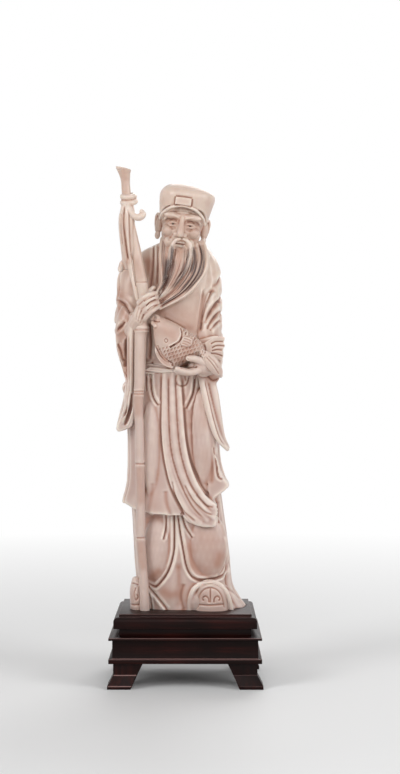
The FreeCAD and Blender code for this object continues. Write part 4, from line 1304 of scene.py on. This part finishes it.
face_cuts = [
    *plain_cuts(0.35, 0.00035, ((-2.9, 9.1), (0, 9.0), (2.9, 9.1))),
    *paired_cuts(0.45, 0.00030, ((6.6, -1.6), (4.6, -2.6), (2.2, -1.9))),
    *paired_cuts(0.6, 0.00025, ((2.2, 1.4), (4.0, 2.3), (6.2, 1.6))),
    *plain_cuts(
        0.5, 0.00022,
        ((-5.0, -6.6), (0, -7.0), (5.0, -6.6)),
        ((-4.6, -5.4), (0, -5.7), (4.6, -5.4)),
    ),
    *paired_cuts(0.7, 0.00035, ((3.2, 4.2), (4.6, 6.4), (5.2, 8.6))),
]

clay = bmesh.new()
for place, radii in skull_lumps + lips:
    head_lump(clay, place, radii)
for side in (-1, 1):
    for (x, y, z), radii in paired_lumps:
        head_lump(clay, (side * x, y, z), radii)
    for path in (ear_line, brow_arch):
        head_roll(clay, path if side > 0 else mirrored(path))
    for lid in (upper_lid, lower_lid):
        rim = []
        for x, y, z in lid:
            rim.append((side * (eye_apart + x), lid_forward + y, eye_level + z, lid_radius))
        head_roll(clay, rim)
head_roll(clay, nose_line)
head_roll(clay, neck_line)
head = one_skin("sage_head", clay, head_grain, rounds=5)
finish_ivory(head, "head", cuts=((face_view, face_cuts, 0.16),), tints=head_tints)


# The pupils: two small plugs of dark horn let into the eyes and polished. They are half as
# deep as they are wide.
pupil_radius = 0.00062
pupil_forward = 0.01112
pupil_drop = 0.00030
pupil_radii = (pupil_radius, pupil_radius * 0.5, pupil_radius)
horn_black = paint(20, 16, 14)
horn_brown = paint(52, 36, 26)
horn_roughness = 0.15

horn, tree, shader, place = new_material("dark_horn")
cloud = noise(tree, place, scale=900.0, detail=2.0)
colour = blend_colours(tree, cloud, horn_black, horn_brown)
feed(tree, shader, {"Base Color": colour, "Roughness": horn_roughness})
clay = bmesh.new()
for side in (-1, 1):
    head_lump(clay, (side * eye_apart, -pupil_forward, eye_level - pupil_drop), pupil_radii)
pupils = clay_object("horn_pupils", clay)
smooth_shaded(pupils, horn)
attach(pupils, "figure")
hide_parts("eye_inlays")


# The cap: a scholar's soft cap that widens to a flat crown, with a raised band over the
# brow and a plain oblong plaque at the front. It is a separate cap glued over the head.
cap_grain = 0.00030
cap_bulge = 0.86
cap_sections = (
    (-0.0030, -0.0112, 0.0115, -0.0122, 0.0118),
    (0.0020, -0.0114, 0.0120, -0.0128, 0.0122),
    (0.0060, -0.0121, 0.0128, -0.0136, 0.0128),
    (0.0110, -0.0128, 0.0139, -0.0144, 0.0134),
    (0.0138, -0.0130, 0.0145, -0.0148, 0.0138),
    (0.0156, -0.0127, 0.0144, -0.0147, 0.0137),
    (0.0171, -0.0119, 0.0137, -0.0140, 0.0131),
    (0.0184, -0.0107, 0.0120, -0.0127, 0.0119),
    (0.0196, -0.0088, 0.0088, -0.0102, 0.0094),
    (0.0206, -0.0058, 0.0044, -0.0066, 0.0058),
    (0.0211, -0.0026, 0.0008, -0.0026, 0.0020),
)
cap_rim_depths = (-0.0160, -0.0100, -0.0040, 0.0020, 0.0140)
cap_rim_levels = (0.0104, 0.0098, 0.0062, 0.0022, -0.0010)
cap_rim_half = 0.0120
cap_rim_droop = 0.0030
brow_band_middle = (0, -0.0141, 0.0096, 0.0007)
brow_band_side = (
    (0.0060, -0.0128, 0.0082, 0.0007), (0.0098, -0.0096, 0.0052, 0.0007),
    (0.0112, -0.0054, 0.0020, 0.0007),
)
brow_band = (*mirrored(brow_band_side)[::-1], brow_band_middle, *brow_band_side)
plaque_place = (-0.0006, -0.0143, 0.0117)
plaque_size = (0.0078, 0.0016, 0.0036)
cap_cuts = plain_cuts(
    0.45, 0.00035,
    ((-4.9, -13.9), (-0.6, -14.0), (3.7, -13.9)),
    ((-4.9, -9.4), (-0.6, -9.5), (3.7, -9.4)),
    ((-4.9, -13.7), (-5.0, -11.6), (-4.9, -9.5)),
    ((3.7, -13.7), (3.8, -11.6), (3.7, -9.5)),
)

clay = bmesh.new()
sections = []
for z, left, right, front, back in curve_through(cap_sections, per_span=4):
    sections.append((left, right, front, back, z))
bridge_sections(clay, sections, around=64, bulge=cap_bulge, local=head_frame)
for vert in clay.verts:
    x, y, z = head_frame.inverted() @ vert.co
    rim = np.interp(y, cap_rim_depths, cap_rim_levels) - cap_rim_droop * (x / cap_rim_half) ** 2
    vert.co = head_frame @ Vector((x, y, max(z, rim)))
head_roll(clay, brow_band)
plaque = head_frame @ Matrix.Translation(plaque_place) @ Matrix.Diagonal((*plaque_size, 1))
bmesh.ops.create_cube(clay, size=1.0, matrix=plaque)
cap = one_skin("scholar_cap", clay, cap_grain, rounds=3)
finish_ivory(cap, "cap", cuts=((face_view, cap_cuts, 0.05),))


# The beard: a moustache of two long strands, side whiskers and a chin beard, combed down and
# across to the hand on the staff. Every lock is cut with fine lines that were once inked.
beard_grain = 0.00026
lock_count = 26
lock_lift = (-0.0009, 0.0005)
lock_radii = (0.0012, 0.0014, 0.0014, 0.0012, 0.0008)
goatee_line = (
    (180.6, 254, -0.0146, 0.0028), (178.8, 260, -0.0164, 0.0030), (176.2, 269, -0.0175, 0.0024),
    (171.5, 281, -0.0178, 0.0016), (165, 291, -0.0168, 0.0009),
)
goatee_share = 0.48
goatee_spread = 0.12
beard_left = (
    (162.5, 239, -0.0060), (161.2, 254, -0.0100), (161.8, 268, -0.0125), (162.2, 282, -0.0140),
    (157, 293, -0.0150),
)
beard_middle = (
    (181, 250.5, -0.0136), (179.5, 261, -0.0164), (175.5, 274, -0.0176), (167.5, 288, -0.0170),
    (157, 300, -0.0156),
)
beard_right = (
    (203, 242, -0.0050), (206.5, 258, -0.0100), (202.5, 275, -0.0135), (186, 294, -0.0148),
    (160, 308.5, -0.0152),
)
moustache_left = (
    (180, 238.8, -0.0162, 0.0006), (176, 240.2, -0.0166, 0.0009), (172.6, 245, -0.0166, 0.0010),
    (170.6, 254, -0.0176, 0.0011), (168.6, 268, -0.0186, 0.0011), (164, 283, -0.0182, 0.0009),
    (158.5, 293, -0.0166, 0.0006),
)
moustache_right = (
    (183.6, 239.2, -0.0162, 0.0006), (187.6, 241.2, -0.0166, 0.0009),
    (190.4, 246.6, -0.0166, 0.0010), (190.4, 256, -0.0176, 0.0011), (185.6, 269, -0.0186, 0.0011),
    (176.5, 282, -0.0184, 0.0009), (166, 292.5, -0.0168, 0.0006),
)
hair_count = 60
hair_shift = 0.3
hair_width = 0.40
hair_depth = (0.00020, 0.00055)
hair_strengths = (0.1, 0.55, 1.0)
hair_spans = ((0, 3), (0, 4), (1, 4), (1, 5))
ink_width = 0.6
goatee_calms_cuts = 0.35
goatee_calms_ink = 0.75
moustache_edge = 1.9
moustache_free = slice(2, 6)
moustache_cut = (0.5, 0.0004)
moustache_ink = (0.55, 0.7)
beard_tints = (
    (0.75, 6.0, ((180, 246), (179, 258), (177, 270), (172, 284))),
    (0.5, 5.0, ((164, 258), (163, 272), (160, 286))),
    (0.5, 6.0, ((199, 258), (196, 270), (188, 282), (176, 294))),
)


def between_guides(share):
    """The line of a lock that lies some share of the way from the left guide to the right."""
    left, middle, right = np.array(beard_left), np.array(beard_middle), np.array(beard_right)
    if share < 0.5:
        return left + (middle - left) * share * 2
    return middle + (right - middle) * (share * 2 - 1)


shuffle = random.Random(7)
clay = bmesh.new()
for index in range(lock_count):
    lift = shuffle.uniform(*lock_lift)
    path = []
    for (column, row, depth), radius in zip(between_guides(index / (lock_count - 1)), lock_radii):
        path.append((column, row, depth + lift, radius))
    limb(clay, path, flatten=1.3, per_span=8)
limb(clay, goatee_line, flatten=0.5, per_span=8)
for path in (moustache_left, moustache_right):
    limb(clay, path, flatten=0.9, per_span=8)
beard = one_skin("long_beard", clay, beard_grain, rounds=3)
hair_cuts = []
hair_inks = []
for index in range(hair_count):
    share = (index + 0.5) / hair_count
    shift = shuffle.uniform(-hair_shift, hair_shift)
    line = between_guides(share)[:, :2] + np.array([shift, 0])
    goatee = math.exp(-((share - goatee_share) / goatee_spread) ** 2)
    depth = shuffle.uniform(*hair_depth) * (1 - goatee_calms_cuts * goatee)
    hair_cuts.append((hair_width, depth, 0, 0, line))
    strength = shuffle.choice(hair_strengths) * (1 - goatee_calms_ink * goatee)
    start, end = shuffle.choice(hair_spans)
    hair_inks.append((strength, ink_width, line[start:end]))
for path in (moustache_left, moustache_right):
    for shift in (-moustache_edge, moustache_edge):
        edge = [(column + shift, row) for column, row, depth, radius in path[moustache_free]]
        hair_inks.append((*moustache_ink, edge))
        hair_cuts += plain_cuts(*moustache_cut, edge)
finish_ivory(
    beard, "beard", cuts=((front_view, hair_cuts, 0.04),), tints=beard_tints, inks=hair_inks
)


# The hands: the right one closes round the staff with the thumb behind, the left one lies
# open under the carp with the thumb over its side. Each is pegged into its sleeve.
hand_grain = 0.00026
right_palm = ((141.2, 312.5, -0.0188), (0.0036, 0.0034, 0.0070), 28)
right_wrist = (
    (131.5, 330, -0.0120, 0.0038), (135, 325, -0.0150, 0.0039), (139, 318, -0.0180, 0.0040),
)
right_thumb = (
    (143, 300, -0.0165, 0.0014), (148.5, 292, -0.0150, 0.0014), (153.4, 287.8, -0.0145, 0.0012),
)
right_fingers = (
    ((139.6, 302.5, -0.0196, 0.0016), (144.5, 297.8, -0.0216, 0.0015),
        (150, 294.6, -0.0216, 0.0014), (155.2, 293.4, -0.0190, 0.0012)),
    ((141.0, 308.0, -0.0204, 0.0016), (147.0, 302.2, -0.0228, 0.0015),
        (152, 298.8, -0.0218, 0.0014), (156.4, 297.2, -0.0190, 0.0012)),
    ((142.6, 313.0, -0.0206, 0.0016), (148.4, 307.2, -0.0230, 0.0015),
        (153, 303.8, -0.0218, 0.0014), (157.0, 302.2, -0.0190, 0.0012)),
    ((144.0, 318.5, -0.0200, 0.0016), (149.6, 312.6, -0.0222, 0.0014),
        (154, 309.2, -0.0212, 0.0013), (157.6, 307.2, -0.0188, 0.0011)),
)
right_hand_cuts = (
    *plain_cuts(
        0.55, 0.0006,
        ((143.5, 301.5), (149, 298), (155.5, 295.4)),
        ((145.5, 306), (150.5, 302), (156.5, 299.4)),
        ((147, 311), (152, 307), (157.4, 304.6)),
    ),
    *plain_cuts(
        0.8, 0.0003,
        ((139, 306.5), (137, 313), (136, 320)),
        ((141.5, 310), (139.5, 316), (138, 322)),
        ((144, 314), (142, 319), (140, 324)),
    ),
)
left_palm = ((201.5, 366.5, -0.0215), (0.0036, 0.0036, 0.0036), 0)
left_wrist = (
    (211, 366, -0.0150, 0.0046), (206.5, 367.5, -0.0190, 0.0042), (202, 367.5, -0.0212, 0.0036),
)
left_heel = ((193, 366, -0.0175, 0.0026), (200, 367, -0.0185, 0.0030))
left_thumb = (
    (204.4, 365.5, -0.0225, 0.0021), (199.6, 360.8, -0.0243, 0.0019), (194, 358.8, -0.0250, 0.0017),
    (188.6, 358.4, -0.0247, 0.0014),
)
left_fingers = (
    ((200, 369.5, -0.0232, 0.0018), (192, 372.2, -0.0240, 0.0017), (184, 371.4, -0.0238, 0.0016),
        (177.5, 369.0, -0.0230, 0.0014)),
    ((199, 368.5, -0.0205, 0.0018), (191, 371.8, -0.0205, 0.0017), (183, 372.2, -0.0200, 0.0016),
        (176.5, 370.4, -0.0195, 0.0014)),
    ((198, 368.0, -0.0175, 0.0018), (190, 370.8, -0.0170, 0.0017), (182, 371.0, -0.0165, 0.0016)),
)
left_hand_cuts = (
    (0.8, 0.0006, 0, 0, ((197.5, 366.4), (190, 368.4), (180, 367.4))),
    (0.6, 0.0003, 0, 0, ((186.4, 357.6), (188.4, 359.4), (186.8, 360.6))),
)


def make_hand(name, palm, rolls, cuts, node):
    """A hand from a palm, a wrist, a thumb and fingers, with the lines between them cut."""
    clay = bmesh.new()
    pixel_lump(clay, *palm)
    for path in rolls:
        limb(clay, path)
    hand = one_skin(name, clay, hand_grain, rounds=4)
    finish_ivory(hand, node, cuts=((front_view, cuts, 0.06),))


right_rolls = (right_wrist, right_thumb, *right_fingers)
left_rolls = (left_wrist, left_heel, left_thumb, *left_fingers)
make_hand("staff_hand", right_palm, right_rolls, right_hand_cuts, "right_hand")
make_hand("carp_hand", left_palm, left_rolls, left_hand_cuts, "left_hand")


# The carp: a plump fish held head up, cut with a gill cover, a ringed eye, rows of scales
# and a split tail. It is one block, pegged against the chest.
carp_grain = 0.00022
carp_rows = (
    (315.5, 154, 158, -0.0185, -0.0155),
    (318, 152.8, 164, -0.0205, -0.0140),
    (322, 152.6, 173, -0.0222, -0.0130),
    (327, 153.0, 182, -0.0236, -0.0124),
    (333, 153.6, 191, -0.0244, -0.0120),
    (339, 154.2, 198.5, -0.0248, -0.0120),
    (345, 155.2, 202.5, -0.0248, -0.0120),
    (351, 157.2, 203.5, -0.0244, -0.0120),
    (357, 160.4, 198, -0.0236, -0.0124),
    (362, 164.2, 187, -0.0224, -0.0130),
    (366, 168.4, 180, -0.0206, -0.0140),
    (368, 171.5, 175.5, -0.0190, -0.0155),
)
tail_upper_pixels = (
    (196, 343), (203, 343.5), (209, 340), (216, 336.6), (224.6, 337.2), (223.6, 342.6),
    (225.0, 346), (222.6, 350.6), (223.4, 356.4), (220.6, 360.4), (214, 358), (207, 354),
    (200, 350),
)
tail_lower_lobe = (
    (202, 352, -0.0232, 0.0014), (207.5, 357.5, -0.0242, 0.0027), (213, 364.5, -0.0240, 0.0032),
    (218, 371.5, -0.0226, 0.0025), (220.6, 375.8, -0.0212, 0.0011),
)
belly_fin_pixels = (
    (155.2, 346), (157.8, 352), (161.2, 357.4), (166, 361.6), (171, 364.6), (173.6, 367.6),
    (168.4, 367.4), (162.4, 364.2), (158.0, 358.8), (155.0, 352),
)
pectoral_pixels = (
    (182.2, 338.6), (184.4, 336.6), (191.4, 339.2), (192.0, 343.6), (188.4, 346.8), (180.8, 344.2),
)
lip_roll = (
    (152.8, 319, -0.0185, 0.0012), (155.5, 316.8, -0.0185, 0.0013), (158.5, 318.5, -0.0200, 0.0011),
)
jaw_roll = ((153.2, 323, -0.0195, 0.0012), (155.5, 326, -0.0215, 0.0010))
carp_cuts = (
    (0.7, 0.0006, 0, 0, ((153.5, 320.6), (157, 321.6), (160.0, 321.2))),
    (0.8, 0.0008, 0.0003, 0, ((180.5, 327), (181.9, 332), (181.4, 337), (179, 341.6), (175.4, 344),
        (169.4, 347.6))),
    (0.45, 0.0004, 0, 0, ((164.0, 340.6), (165.9, 338.6), (167.8, 340.6), (165.9, 342.6),
        (164.0, 340.6))),
    (0.7, 0.0006, 0, 0, ((157.2, 345), (159.6, 351), (163, 356.4), (167.8, 360.6), (173, 363.6))),
    *plain_cuts(
        0.5, 0.0003,
        ((183.4, 329.4), (182.4, 333.2)),
        ((186.4, 331.2), (185.2, 334.6)),
        ((189.4, 333.2), (188.0, 336.6)),
        ((192.4, 335.4), (190.8, 338.6)),
        ((195.2, 337.8), (193.6, 340.8)),
    ),
)
tail_cuts = (
    *plain_cuts(
        0.8, 0.0006,
        ((210.5, 344), (216, 341.6), (225, 341.8)),
        ((211.5, 348), (217, 345.6), (225, 346)),
        ((211.5, 351), (217, 349.6), (224, 350.6)),
        ((210.5, 353.4), (216, 353.8), (223, 356.2)),
    ),
    (0.7, 0.0004, 0, 0, ((206, 357), (211.5, 363), (216, 369.5), (219, 374.5))),
    (0.6, 0.0003, 0, 0, ((208, 355.6), (214, 361.5), (218.6, 368.5))),
    (0.9, 0.0006, 0, 0, ((203.2, 342.5), (205.4, 348), (204.6, 353.5))),
)
fin_cuts = plain_cuts(
    0.4, 0.0003,
    ((183.8, 338.4), (187.5, 339.4), (191.2, 341.2)),
    ((182.8, 340.8), (186.6, 341.8), (190.6, 343.8)),
    ((182.0, 343.2), (185.4, 344.2), (188.8, 345.8)),
)
carp_tints = (
    (0.7, 5.0, ((172, 354), (180, 360), (190, 356))),
    (0.45, 6.0, ((160, 330), (172, 334))),
    (0.5, 3.0, ((158, 354), (166, 362))),
    (0.5, 6.0, ((185, 350), (196, 344))),
    (0.5, 3.0, ((155, 321), (158, 321))),
)
scale_pitch = 5.2
scale_step = 0.5
scale_radius = 0.66
scale_depth = 0.00062
scale_middle = 0.6
scale_lean = math.radians(27)
scales_from = (184.5, 333)
scales_to = 206.0
scales_fade = 1.5
tail_fade = 4.0
gill_column = 182.0
cheek_corner = (165, 346.0)
cheek_slope = 0.25
belly_corner = (157, 348)
belly_slope = 0.75
fin_middle = (186.5, 341.8)
fin_radii = (6.6, 5.8)
scale_facing = 0.4


def past_head(columns, rows):
    """One behind the gill cover, where scales begin, and nothing on the carp's head."""
    cheek = rows - cheek_corner[1] + cheek_slope * (columns - cheek_corner[0])
    belly = columns - belly_corner[0] - (rows - belly_corner[1]) * belly_slope
    behind, below, above_belly = [
        np.clip(reach / scales_fade, 0, 1) for reach in (columns - gill_column, cheek, belly)
    ]
    return np.maximum(behind, below) * above_belly


def cut_scales(piece):
    """Rows of overlapping scales, staggered: each rises to its rounded free edge."""
    points = read(piece.data, "co")
    normals = read(piece.data, "normal")
    plan, facing = front_view(points, normals)
    columns, rows = plan[:, 0], plan[:, 1]
    x = columns - scales_from[0]
    y = rows - scales_from[1]
    along = (x * math.cos(scale_lean) + y * math.sin(scale_lean)) / scale_pitch
    across = (-x * math.sin(scale_lean) + y * math.cos(scale_lean)) / scale_pitch
    height = np.zeros(len(points))
    open_still = np.ones(len(points), dtype=bool)
    first = np.ceil((along - scale_radius) / scale_step)
    for row in (first, first + 1, first + 2):
        stagger = 0.5 * np.mod(row, 2)
        centre = np.round(across - stagger) + stagger
        out = np.hypot(along - row * scale_step, across - centre) / scale_radius
        covered = open_still & (out < 1)
        height[covered] = out[covered] ** 2
        open_still &= ~covered
    before_tail = np.clip((scales_to - columns) / tail_fade, 0, 1)
    fin_x = (columns - fin_middle[0]) / fin_radii[0]
    fin_y = (rows - fin_middle[1]) / fin_radii[1]
    beside_fin = np.hypot(fin_x, fin_y) > 1.0
    weight = past_head(columns, rows) * before_tail * beside_fin
    weight = weight * np.clip(facing / scale_facing, 0, 1)
    points += normals * ((height - scale_middle) * scale_depth * weight)[:, None]
    move(piece.data, points)


clay = bmesh.new()
stack(clay, carp_rows, around=56, power=2.1)
slab(clay, tail_upper_pixels, front=-0.0190, back=-0.0150)
limb(clay, tail_lower_lobe, flatten=0.45)
slab(clay, belly_fin_pixels, front=-0.0214, back=-0.0180)
slab(clay, pectoral_pixels, front=-0.0252, back=-0.0230)
limb(clay, lip_roll)
limb(clay, jaw_roll)
carp = one_skin("carp_body", clay, carp_grain, rounds=5)
cut_scales(carp)
finish_ivory(carp, "carp", tints=carp_tints, cuts=(
    (front_view, carp_cuts, 0.03),
    (front_view, tail_cuts, 0.05),
    (front_view, fin_cuts, 0.05),
))


# The staff: a bamboo staff in two lengths, joined inside the fist, with raised joints and a
# flared top. It stands on the base beside the right foot.
staff_grain = 0.00028
lower_staff_rows = (
    (297, 139.8, 148.4), (306, 139.0, 148.2), (318, 137, 147.6), (324, 135.4, 147.6),
    (327.4, 134.2, 149.2), (329.6, 134.6, 148.6), (331.4, 134.1, 149.0), (334, 134.3, 147.2),
    (345, 134.3, 146.6), (365, 134.2, 145.8), (380, 134.2, 145.0), (387, 134.0, 144.4),
    (390, 133.5, 144.3), (391.2, 134.3, 143.4), (392.4, 133.6, 144.2), (393.8, 134.2, 143.4),
    (395.4, 133.3, 144.0), (399, 133.2, 143.2), (410, 133.6, 143.2), (425, 134.9, 143.8),
    (440, 135.2, 144.1), (455, 135.0, 144.3), (461.6, 134.9, 144.5), (463.6, 135.9, 143.7),
    (465.4, 135.1, 144.7), (470, 135.6, 144.6), (485, 135.8, 144.8), (505, 136.0, 145.2),
    (525, 136.0, 145.4), (535.4, 135.8, 145.2), (537.4, 136.7, 144.4), (539.4, 136.0, 145.5),
    (545, 136.6, 145.6), (565, 138, 147), (588, 139.4, 148.6), (612, 140, 149.7),
)
lower_staff_depths = (
    (297, -0.0165), (340, -0.0165), (400, -0.0163), (470, -0.0160), (612, -0.0136),
)
upper_staff_rows = (
    (166.2, 115.7, 131.8), (168.5, 116.0, 131.6), (172, 117.8, 130.6), (176, 119.5, 130.2),
    (182, 121, 130), (192, 121.6, 130.8), (205, 122.6, 132.0), (225, 125.4, 135.2),
    (250, 130.4, 141.0), (270, 133.8, 145.0), (280.4, 135.4, 147.2), (281.8, 136.4, 146.6),
    (283.4, 135.6, 147.6), (290, 137.4, 148.0), (300, 139.4, 148.4),
)
upper_staff_depths = ((166, -0.0150), (230, -0.0155), (300, -0.0165))
staff_top = at(115.8, 166.2, -0.0150)
staff_top_slope = 0.24
staff_stains = (
    ((124, 172), (125, 192)),
    ((137, 262), (141, 276)),
    ((140.5, 544), (143, 566)),
    ((139, 470), (141, 500)),
    ((137, 398), (138, 412)),
)
stain_strength = 0.55
stain_width = 5.0
staff_joints = (281.8, 329.6, 391.2, 393.8, 463.6, 537.4)
joint_strength = 0.9
joint_width = 0.6
joint_overhang = 2
joint_bow = (0.2, 0.5, 0)


def staff_length(name, rows, depths, node):
    """One length of the staff, round and jointed, along a gently bent line."""
    full = []
    for row, left, right in rows:
        depth = float(np.interp(row, *zip(*depths)))
        radius = (at(right, row, depth).x - at(left, row, depth).x) / 2
        full.append((row, left, right, depth - radius, depth + radius))
    clay = bmesh.new()
    stack(clay, full, around=36, power=2.0, per_span=5)
    for vert in clay.verts:
        slant = staff_top.z - staff_top_slope * (vert.co.x - staff_top.x)
        vert.co.z = min(vert.co.z, slant)
    length = one_skin(name, clay, staff_grain, rounds=2)
    stains = [(stain_strength, stain_width, path) for path in staff_stains]
    for row, left, right in rows[1:-1]:
        if row in staff_joints:
            columns = (left - joint_overhang, (left + right) / 2, right + joint_overhang)
            ring = [(column, row + bow) for column, bow in zip(columns, joint_bow)]
            stains.append((joint_strength, joint_width, ring))
    finish_ivory(length, node, tints=stains)


staff_length("staff_shaft", lower_staff_rows, lower_staff_depths, "lower_staff")
staff_length("staff_head", upper_staff_rows, upper_staff_depths, "upper_staff")


# The bundle: a long cloth bag that hangs down the staff from a doubled cord, its edge drawn
# over the sleeve.
bundle_rows = (
    (203, 121.5, 133, -0.0190, -0.0110),
    (210, 120.4, 134.6, -0.0200, -0.0100),
    (218, 118.6, 135.0, -0.0208, -0.0095),
    (230, 118.8, 134.4, -0.0208, -0.0092),
    (245, 120.4, 134.4, -0.0202, -0.0092),
    (256, 121.6, 134.6, -0.0192, -0.0092),
    (264, 122.6, 134.0, -0.0178, -0.0095),
    (270, 125.0, 132.5, -0.0165, -0.0100),
)
bundle_edge = (
    (128, 250, -0.0175, 0.0017), (130.6, 266, -0.0172, 0.0015), (134.4, 284, -0.0165, 0.0013),
    (137.6, 299, -0.0160, 0.0010),
)
bundle_knob = ((122.6, 264, -0.0140, 0.0018), (120.6, 269.5, -0.0140, 0.0015))
bundle_folds = (
    (1.2, 0.0009, 0.0003, 0.0003, ((124.5, 204), (123.2, 222), (125.5, 242), (128.5, 262))),
    (1.1, 0.0006, 0.0002, 0.0002, ((129.2, 206), (129.6, 222), (130.2, 240), (131.4, 256))),
    (1.0, 0.0006, 0.0002, 0.0002, ((121.0, 212), (120.8, 228), (122.6, 246))),
    (0.9, 0.0008, 0, 0, ((131.0, 252), (133.4, 268), (137, 288))),
)
bundle_back_folds = ((2.0, 0.0010, 0.0003, 0.0003, ((262, 206), (264, 230), (262, 262))),)
# Painted shade along the main fold of the bundle.
bundle_painted_shade = ((0.6, 3.0, ((124, 215), (124.5, 240), (128, 262))),)

clay = bmesh.new()
stack(clay, bundle_rows, around=44, power=2.3)
limb(clay, bundle_edge)
limb(clay, bundle_knob)
bundle = one_skin("cloth_bundle", clay, staff_grain, rounds=5)
finish_ivory(bundle, "staff_bundle", tints=bundle_painted_shade, cuts=(
    (front_view, bundle_folds, 0.10),
    (back_view, bundle_back_folds, 0.10),
))


# The cord: two turns round the staff above the bundle, each a closed ring that sags at the
# front. Its loose end is cut as a curl.
cord_turns = (
    ((119.8, 196.6), (128, 198.2), (137.0, 196.0)),
    ((119.8, 202.6), (128, 204.2), (138.2, 201.2)),
)
cord_radius = 0.0014
cord_steps = 40
cord_depth = -0.0152
curl_line = (
    (128.0, 203, -0.0178, 0.0014), (129.6, 209, -0.0192, 0.0014), (133.4, 215.6, -0.0196, 0.0015),
    (139.0, 217.4, -0.0196, 0.0018), (142.8, 214.6, -0.0194, 0.0017),
    (141.8, 211.4, -0.0192, 0.0012),
)

clay = bmesh.new()
for turn in cord_turns:
    left, front, right = [at(column, row, cord_depth) for column, row in turn]
    half = (right.x - left.x) / 2 - cord_radius
    line = []
    for step in range(cord_steps + 1):
        angle = 2 * math.pi * step / cord_steps
        centre = left.lerp(right, 0.5 + 0.5 * math.cos(angle))
        across = (left.x + right.x) / 2 + math.cos(angle) * half
        sag = (front.z - (left.z + right.z) / 2) * math.sin(-angle)
        line.append((across, cord_depth + math.sin(angle) * half, centre.z + sag, cord_radius))
    roll(clay, line)
limb(clay, curl_line)
cord = one_skin("knotted_cord", clay, staff_grain, rounds=3)
finish_ivory(cord, "staff_cord")


# The pegs inside the figure are plain rods of bone, hidden in blind holes. They keep their
# frame meshes, as the dowels do.
peg_pale = paint(228, 214, 190)
peg_cream = paint(205, 184, 152)
fibrous_rods(
    "bone_peg", peg_cream, peg_pale, runs=(600, 600, 40), roughness=0.5, strength=0.2,
    distance=0.0001,
    rods=("body_pegs", "neck_peg", "staff_peg", "hand_pegs", "carp_peg", "shoe_pegs"),
)

bpy.context.scene.view_settings.view_transform = "Standard"
